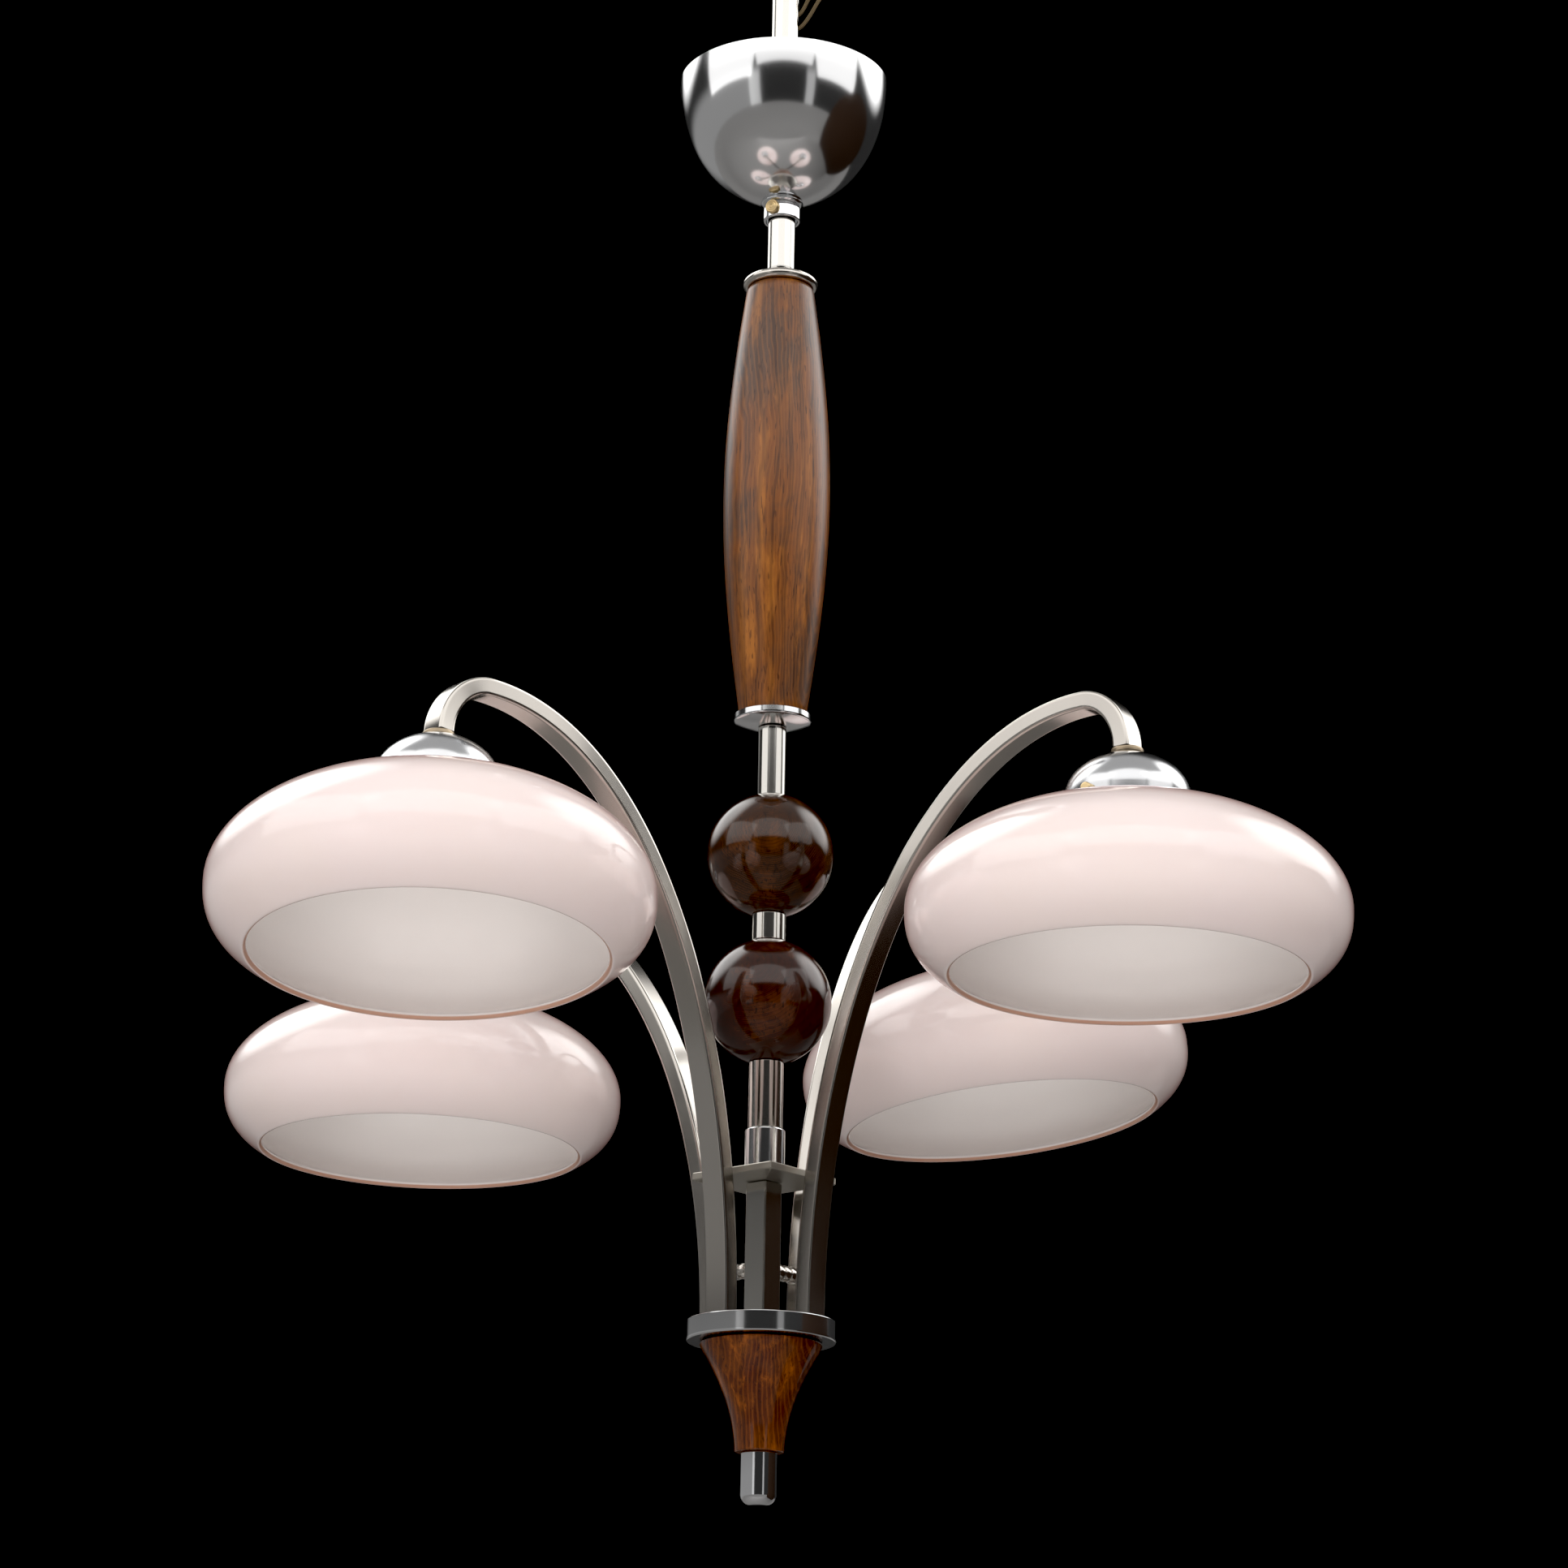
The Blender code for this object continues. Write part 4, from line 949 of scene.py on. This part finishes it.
def make_heads(sizes, colours):
    """The ring, gallery, lampholder, shade and three screws at the end of each arm."""
    chrome, brass, bakelite = (bpy.data.materials[n] for n in ("gallery_chrome", "brass", "bakelite"))
    shade = shade_profile(sizes)
    glass = opaline(colours, run_length(shade)[-1] / 2)
    corners = [(0.0025, -0.0032), (0.0070, -0.0032), (0.0070, -GAP), (0.0025, -GAP)]
    ring = softened(corners, 0.0009, closed=True)
    screw = softened(
        [(0, 0.0243), (0.0009, 0.0243), (0.0009, 0.0273), (0.0024, 0.0273), (0.0024, 0.0313), (0, 0.0313)],
        (0, 0.0002, 0.0001, 0.0004, 0.0006, 0),
        steps=4,
    )
    thread = np.linspace(0, 1, 140)
    shell = np.column_stack([0.0129 + 0.00035 * np.cos(thread * math.tau * 8), -0.0540 + 0.0240 * thread])
    turned_pieces = (
        ("arm_ring", "band", ring, bpy.data.materials["aged_brass"], 48, "brass"),
        ("gallery", "dome", gallery_profile(), chrome, 80, "chrome"),
        ("lampholder", "barrel", holder_profile(), bakelite, 64, "bakelite"),
    )
    for side in ARM_SETS:
        seat, turn, _, _ = seat_of(side)
        for node, part, profile, material, steps, slot in turned_pieces:
            made = turned(f"{node}_{side}_{part}", profile, material, steps, seat, turn)
            show(made, f"{node}_{side}")
        lining = turned(f"socket_{side}_thread", np.vstack([shell, [(0, -0.0300)]]), brass, 48, seat, turn)
        lining_wall = lining.modifiers.new("wall", "SOLIDIFY")
        lining_wall.thickness = 0.0002
        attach(lining, "frame")
        grid, texture = spun(shade + (0, -0.1004), sizes.round_steps + 32)
        made = surface(f"shade_{side}_glass", placed(grid, seat, turn), glass, texture, sharp=60)
        show(made, f"glass_shade_{side}", f"shade_{side}")
        for i in range(3):
            lie = turn @ radial_turn(math.radians(30) + math.tau * i / 3)
            origin = seat + turn @ np.array([0, 0, -0.0256])
            node = f"gallery_screw_{side}_{i + 1}"
            show(turned(node + "_pin", screw, brass, 24, origin, lie), node, node)


# ---------------------------------------------------------------- studio
def camera_matrix():
    """Place and turn of the camera: on the -Y side turned by VIEW_TURN, low, looking up."""
    pitch, yaw, roll = math.radians(17.56), math.radians(0.19), math.radians(1.0)
    look = np.array([math.sin(yaw) * math.cos(pitch), math.cos(yaw) * math.cos(pitch), math.sin(pitch)])
    right = np.array([math.cos(yaw), -math.sin(yaw), 0.0])
    up = np.cross(right, look)
    tilted_right = right * math.cos(roll) + up * math.sin(roll)
    tilted_up = up * math.cos(roll) - right * math.sin(roll)
    place = Matrix.Identity(4)
    for i in range(3):
        place[i][0], place[i][1], place[i][2] = tilted_right[i], tilted_up[i], -look[i]
    place.translation = (0, -1.721, -0.9783)
    return Matrix.Rotation(VIEW_TURN, 4, "Z") @ place


def studio_sheet(name, radius, place, tint):
    """A flat round sheet of the studio, (r cos t, r sin t, 0), placed by a matrix."""
    paint = Paint(name)
    paint.set(Base_Color=tint, Roughness=1.0, Specular_IOR_Level=0.0)
    r, t = np.meshgrid(np.linspace(0.001, radius, 3), np.linspace(0, math.tau, 65), indexing="ij")
    made = surface(name, np.stack([r * np.cos(t), r * np.sin(t), 0 * r], axis=-1), paint.material)
    made.matrix_world = place
    return made


def toward(azimuth, rise):
    """Direction from the chandelier, azimuth degrees anticlockwise of the camera and rise above level."""
    turn, rise = VIEW_TURN + math.radians(azimuth), math.radians(rise)
    return np.array([math.sin(turn) * math.cos(rise), -math.cos(turn) * math.cos(rise), math.sin(rise)])


def softbox(name, azimuth, rise, distance, size, radiance):
    """A flat lamp that faces the chandelier's middle. Its power is radiance times pi times its area."""
    lamp = bpy.data.lights.new(name, "AREA")
    lamp.shape = "RECTANGLE"
    lamp.size, lamp.size_y = size
    lamp.energy = radiance * math.pi * size[0] * size[1]
    lamp.color = (1.0, 0.985, 0.97)
    made = bpy.data.objects.new(name, lamp)
    side = toward(azimuth, rise)
    made.location = side * distance + (0, 0, RIG_MIDDLE)
    made.rotation_mode = "QUATERNION"
    made.rotation_quaternion = Vector(side).to_track_quat("Z", "Y")
    made.visible_camera = False
    bpy.context.scene.collection.objects.link(made)
    return made


def surroundings():
    """The room's light by direction: white overhead, soft bright patches high behind, a pale wall at the
    camera's left, white boards in front, and dark in between."""
    world = bpy.data.worlds.new("studio")
    world.use_nodes = True
    mixer = Mixer(world.node_tree)
    look = mixer.node("ShaderNodeTexCoord", output="Generated")
    up = mixer.dot(look, (0, 0, 1))
    side = mixer.dot(look, toward(90, 0).tolist())
    near = mixer.dot(look, toward(0, 0).tolist())
    ahead = mixer.step(near + 0.9 * up, 0.15, 0.6)
    radiance = 0.03 + 0.5 * mixer.step(up, 0.30, 0.44) * ahead
    for azimuth, rise, strength, reach in ((-130, 44, 3.2, 0.88), (113, 37, 3.2, 0.88)):
        patch = mixer.dot(look, toward(azimuth, rise).tolist())
        radiance = radiance + mixer.step(patch, reach, 0.985) * strength
    level = mixer.step(up, -0.5, -0.4) * mixer.step(up, 0.10, 0.25, 1.0, 0.0)
    wall = mixer.step(0 - side, 0.35, 0.65)
    radiance = radiance + wall * level * 0.26
    for azimuth, half in ((-33, 0.10), (29, 0.075)):
        across = mixer.maths("ABSOLUTE", mixer.dot(look, toward(azimuth + 90, 0).tolist()))
        board = mixer.step(across, half, half + 0.015, 1.0, 0.0) * mixer.step(near, 0.4, 0.5)
        radiance = radiance + board * level * 0.45
    background = world.node_tree.nodes["Background"]
    background.inputs["Color"].default_value = (1.0, 0.99, 0.975, 1.0)
    mixer.feed(background.inputs["Strength"], radiance)
    bpy.context.scene.world = world


def make_studio(studio):
    """Pale floor, dark backdrop, the room's light, softboxes and the camera."""
    scene = bpy.context.scene
    backdrop_distance, cloth_distance, cloth_height = 5.3, 2.2, -1.35
    cloth_colour = (0.035, 0.022, 0.016)
    level = Matrix.Translation((0, 0, studio.floor_height))
    studio_sheet("studio_floor", 8.0, level, studio.floor_colour[:])
    surroundings()
    view = camera_matrix()
    behind = view.copy()
    behind.translation = view.translation - view.col[2].to_3d() * backdrop_distance
    studio_sheet("studio_backdrop", 2.0, behind, studio.backdrop_colour[:])
    cloth = Vector(toward(92, 0)).to_track_quat("Z", "Y").to_matrix().to_4x4()
    cloth.translation = toward(92, 0) * cloth_distance + (0, 0, cloth_height)
    studio_sheet("studio_dark_cloth", 1.6, cloth, cloth_colour).visible_camera = False
    softbox("softbox_front", 0, 38, 2.7, (3.0, 1.8), 1.05)
    softbox("softbox_left", -61, 29, 2.6, (2.5, 1.6), 1.2)
    softbox("softbox_right", 58, 29, 2.6, (2.2, 1.6), 1.2)
    softbox("softbox_fill", -4, -24, 2.5, (3.0, 2.4), 2.3).visible_glossy = False
    camera = bpy.data.cameras.new("camera")
    camera.lens = studio.lens
    camera.sensor_width = 36.0
    made = bpy.data.objects.new("camera", camera)
    made.matrix_world = view
    scene.collection.objects.link(made)
    scene.camera = made
    scene.view_settings.view_transform = "Standard"
    scene.view_settings.use_curve_mapping = True
    scene.view_settings.curve_mapping.black_level = (0.006, 0.006, 0.006)


# ---------------------------------------------------------------- operators and panel
def make_finishes(colours):
    """Mix the finishes that several pieces share, and give the CAD nodes that stay shown theirs."""
    c = colours
    metal("chrome", c.chrome[:], 0.045, 0.25, 0.06)
    metal("gallery_chrome", [x * 0.76 for x in c.chrome], 0.15, 0.3, 0.10)
    metal("pitted_chrome", c.chrome[:], 0.06, 0.9, 0.12)
    metal("nickel", c.nickel[:], 0.16, 0.35, 0.08)
    metal("arm_nickel", [x * 0.84 for x in c.nickel], 0.15, 0.12, 0.05)
    metal("worn_nickel", c.nickel[:], 0.14, 0.9, 0.14)
    metal("dull_nickel", c.dull_nickel[:], 0.34, 0.8, 0.12)
    metal("brass", c.brass[:], 0.24, 0.5, 0.14)
    metal("aged_brass", [x * 0.8 for x in c.brass], 0.32, 0.8, 0.14)
    metal("steel", c.steel[:], 0.32, 0.5, 0.12)
    moulded("bakelite", c.bakelite[:], 0.25)
    moulded("porcelain", c.porcelain[:], 0.12)
    light, middle, dark = c.wood_light[:], c.wood_middle[:], c.wood_dark[:]
    grain, turned_grain = (110, 110, 9), (60, 60, 22)
    across, up = (math.cos(SLOT_TURN), math.sin(SLOT_TURN), 0.0), (0.0, 0.0, 1.0)
    rings = ((1, 0, 0.07), (0, 1, -0.05), 0.012, 0.030, 0.0060)
    stain = (0.075, 0.033, 0.016)
    wood("spindle_beech", light, middle, dark, stain, rings, grain, (30, 30, 16), 0.6, 0.30)
    tan, brown = dark_mix(middle, dark, 0.40), [x * 0.16 for x in middle]
    pore = [x * 0.25 for x in dark]
    rings = (across, up, -0.001, lift(0.2285), 0.0030)
    blotch, cloudy = (26, 26, 34), [x * 0.6 for x in brown]
    wood("ball_beech", tan, brown, pore, cloudy, rings, turned_grain, blotch, 0.5, 0.12)
    red = dark_mix(middle, c.mahogany[:], 0.6)
    deep = [x * 0.42 for x in c.mahogany]
    rings = (across, up, -0.008, lift(0.1640), 0.0028)
    cloudy = [x * 0.6 for x in deep]
    wood("ball_mahogany", red, deep, pore, cloudy, rings, turned_grain, blotch, 0.4, 0.12)
    orange, rich = (light[0], light[1] * 0.75, light[2] * 0.4), dark_mix(middle, c.mahogany[:], 0.5)
    rings = ((1, 0, 0.10), (0, 1, 0.04), 0.02, 0.03, 0.0070)
    wood("finial_beech", orange, rich, dark, c.mahogany[:], rings, (160, 160, 26), (60, 60, 24), 0.5, 0.12)
    for node in ("tie_rod", "lock_nut"):
        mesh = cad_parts[node].data
        mesh.materials.clear()
        mesh.materials.append(bpy.data.materials["steel"])


class CHANDELIER_OT_finishes(bpy.types.Operator):
    """Mix the shared finishes."""

    bl_idname = "chandelier.finishes"
    bl_label = "Finishes"

    def execute(self, context):
        make_finishes(context.scene.chandelier_colours)
        return {"FINISHED"}


class CHANDELIER_OT_rod(bpy.types.Operator):
    """Build the slotted hanging rod and the eye on top of it."""

    bl_idname = "chandelier.rod"
    bl_label = "Rod and eye"

    def execute(self, context):
        make_rod(context.scene.chandelier_sizes)
        make_eye(context.scene.chandelier_sizes)
        return {"FINISHED"}


class CHANDELIER_OT_wires(bpy.types.Operator):
    """Build the supply wires and the terminal block."""

    bl_idname = "chandelier.wires"
    bl_label = "Supply wires"

    def execute(self, context):
        make_wires(context.scene.chandelier_colours)
        return {"FINISHED"}


class CHANDELIER_OT_canopy(bpy.types.Operator):
    """Build the canopy, its collar and its screw."""

    bl_idname = "chandelier.canopy"
    bl_label = "Canopy"

    def execute(self, context):
        make_canopy(context.scene.chandelier_sizes)
        return {"FINISHED"}


class CHANDELIER_OT_stack(bpy.types.Operator):
    """Build the washers, spindle, balls and tubes of the middle stack."""

    bl_idname = "chandelier.stack"
    bl_label = "Turned stack"

    def execute(self, context):
        sizes = context.scene.chandelier_sizes
        make_washers(sizes)
        make_spindle(sizes)
        make_balls(sizes)
        make_stem(sizes)
        return {"FINISHED"}


class CHANDELIER_OT_base(bpy.types.Operator):
    """Build the plate, column, base disc and finial."""

    bl_idname = "chandelier.base"
    bl_label = "Base and finial"

    def execute(self, context):
        make_base(context.scene.chandelier_sizes)
        return {"FINISHED"}


class CHANDELIER_OT_arms(bpy.types.Operator):
    """Build the four arms and the nipples of the rear two."""

    bl_idname = "chandelier.arms"
    bl_label = "Arms"

    def execute(self, context):
        make_arms(context.scene.chandelier_sizes)
        make_nipples(context.scene.chandelier_sizes)
        return {"FINISHED"}


class CHANDELIER_OT_heads(bpy.types.Operator):
    """Build the galleries, lampholders, shades and their screws."""

    bl_idname = "chandelier.heads"
    bl_label = "Galleries and shades"

    def execute(self, context):
        make_heads(context.scene.chandelier_sizes, context.scene.chandelier_colours)
        return {"FINISHED"}


class CHANDELIER_OT_studio(bpy.types.Operator):
    """Build the floor, backdrop, lamps and camera."""

    bl_idname = "chandelier.studio"
    bl_label = "Studio"

    def execute(self, context):
        make_studio(context.scene.chandelier_studio)
        return {"FINISHED"}


OPERATORS = (
    CHANDELIER_OT_finishes,
    CHANDELIER_OT_rod,
    CHANDELIER_OT_wires,
    CHANDELIER_OT_canopy,
    CHANDELIER_OT_stack,
    CHANDELIER_OT_base,
    CHANDELIER_OT_arms,
    CHANDELIER_OT_heads,
    CHANDELIER_OT_studio,
)


class CHANDELIER_PT_panel(bpy.types.Panel):
    """Lists the steps that build the chandelier."""

    bl_label = "Chandelier"
    bl_space_type = "VIEW_3D"
    bl_region_type = "UI"
    bl_category = "Chandelier"

    def draw(self, context):
        for operator in OPERATORS:
            self.layout.operator(operator.bl_idname)


CLASSES = (ChandelierSizes, ChandelierColours, ChandelierStudio, *OPERATORS, CHANDELIER_PT_panel)


def register():
    for entry in CLASSES:
        bpy.utils.register_class(entry)
    bpy.types.Scene.chandelier_sizes = PointerProperty(type=ChandelierSizes)
    bpy.types.Scene.chandelier_colours = PointerProperty(type=ChandelierColours)
    bpy.types.Scene.chandelier_studio = PointerProperty(type=ChandelierStudio)


def unregister():
    del bpy.types.Scene.chandelier_sizes
    del bpy.types.Scene.chandelier_colours
    del bpy.types.Scene.chandelier_studio
    for entry in reversed(CLASSES):
        bpy.utils.unregister_class(entry)


def main():
    register()
    bpy.ops.chandelier.finishes()
    bpy.ops.chandelier.rod()
    bpy.ops.chandelier.wires()
    bpy.ops.chandelier.canopy()
    bpy.ops.chandelier.stack()
    bpy.ops.chandelier.base()
    bpy.ops.chandelier.arms()
    bpy.ops.chandelier.heads()
    bpy.ops.chandelier.studio()


if __name__ == "__main__":
    main()
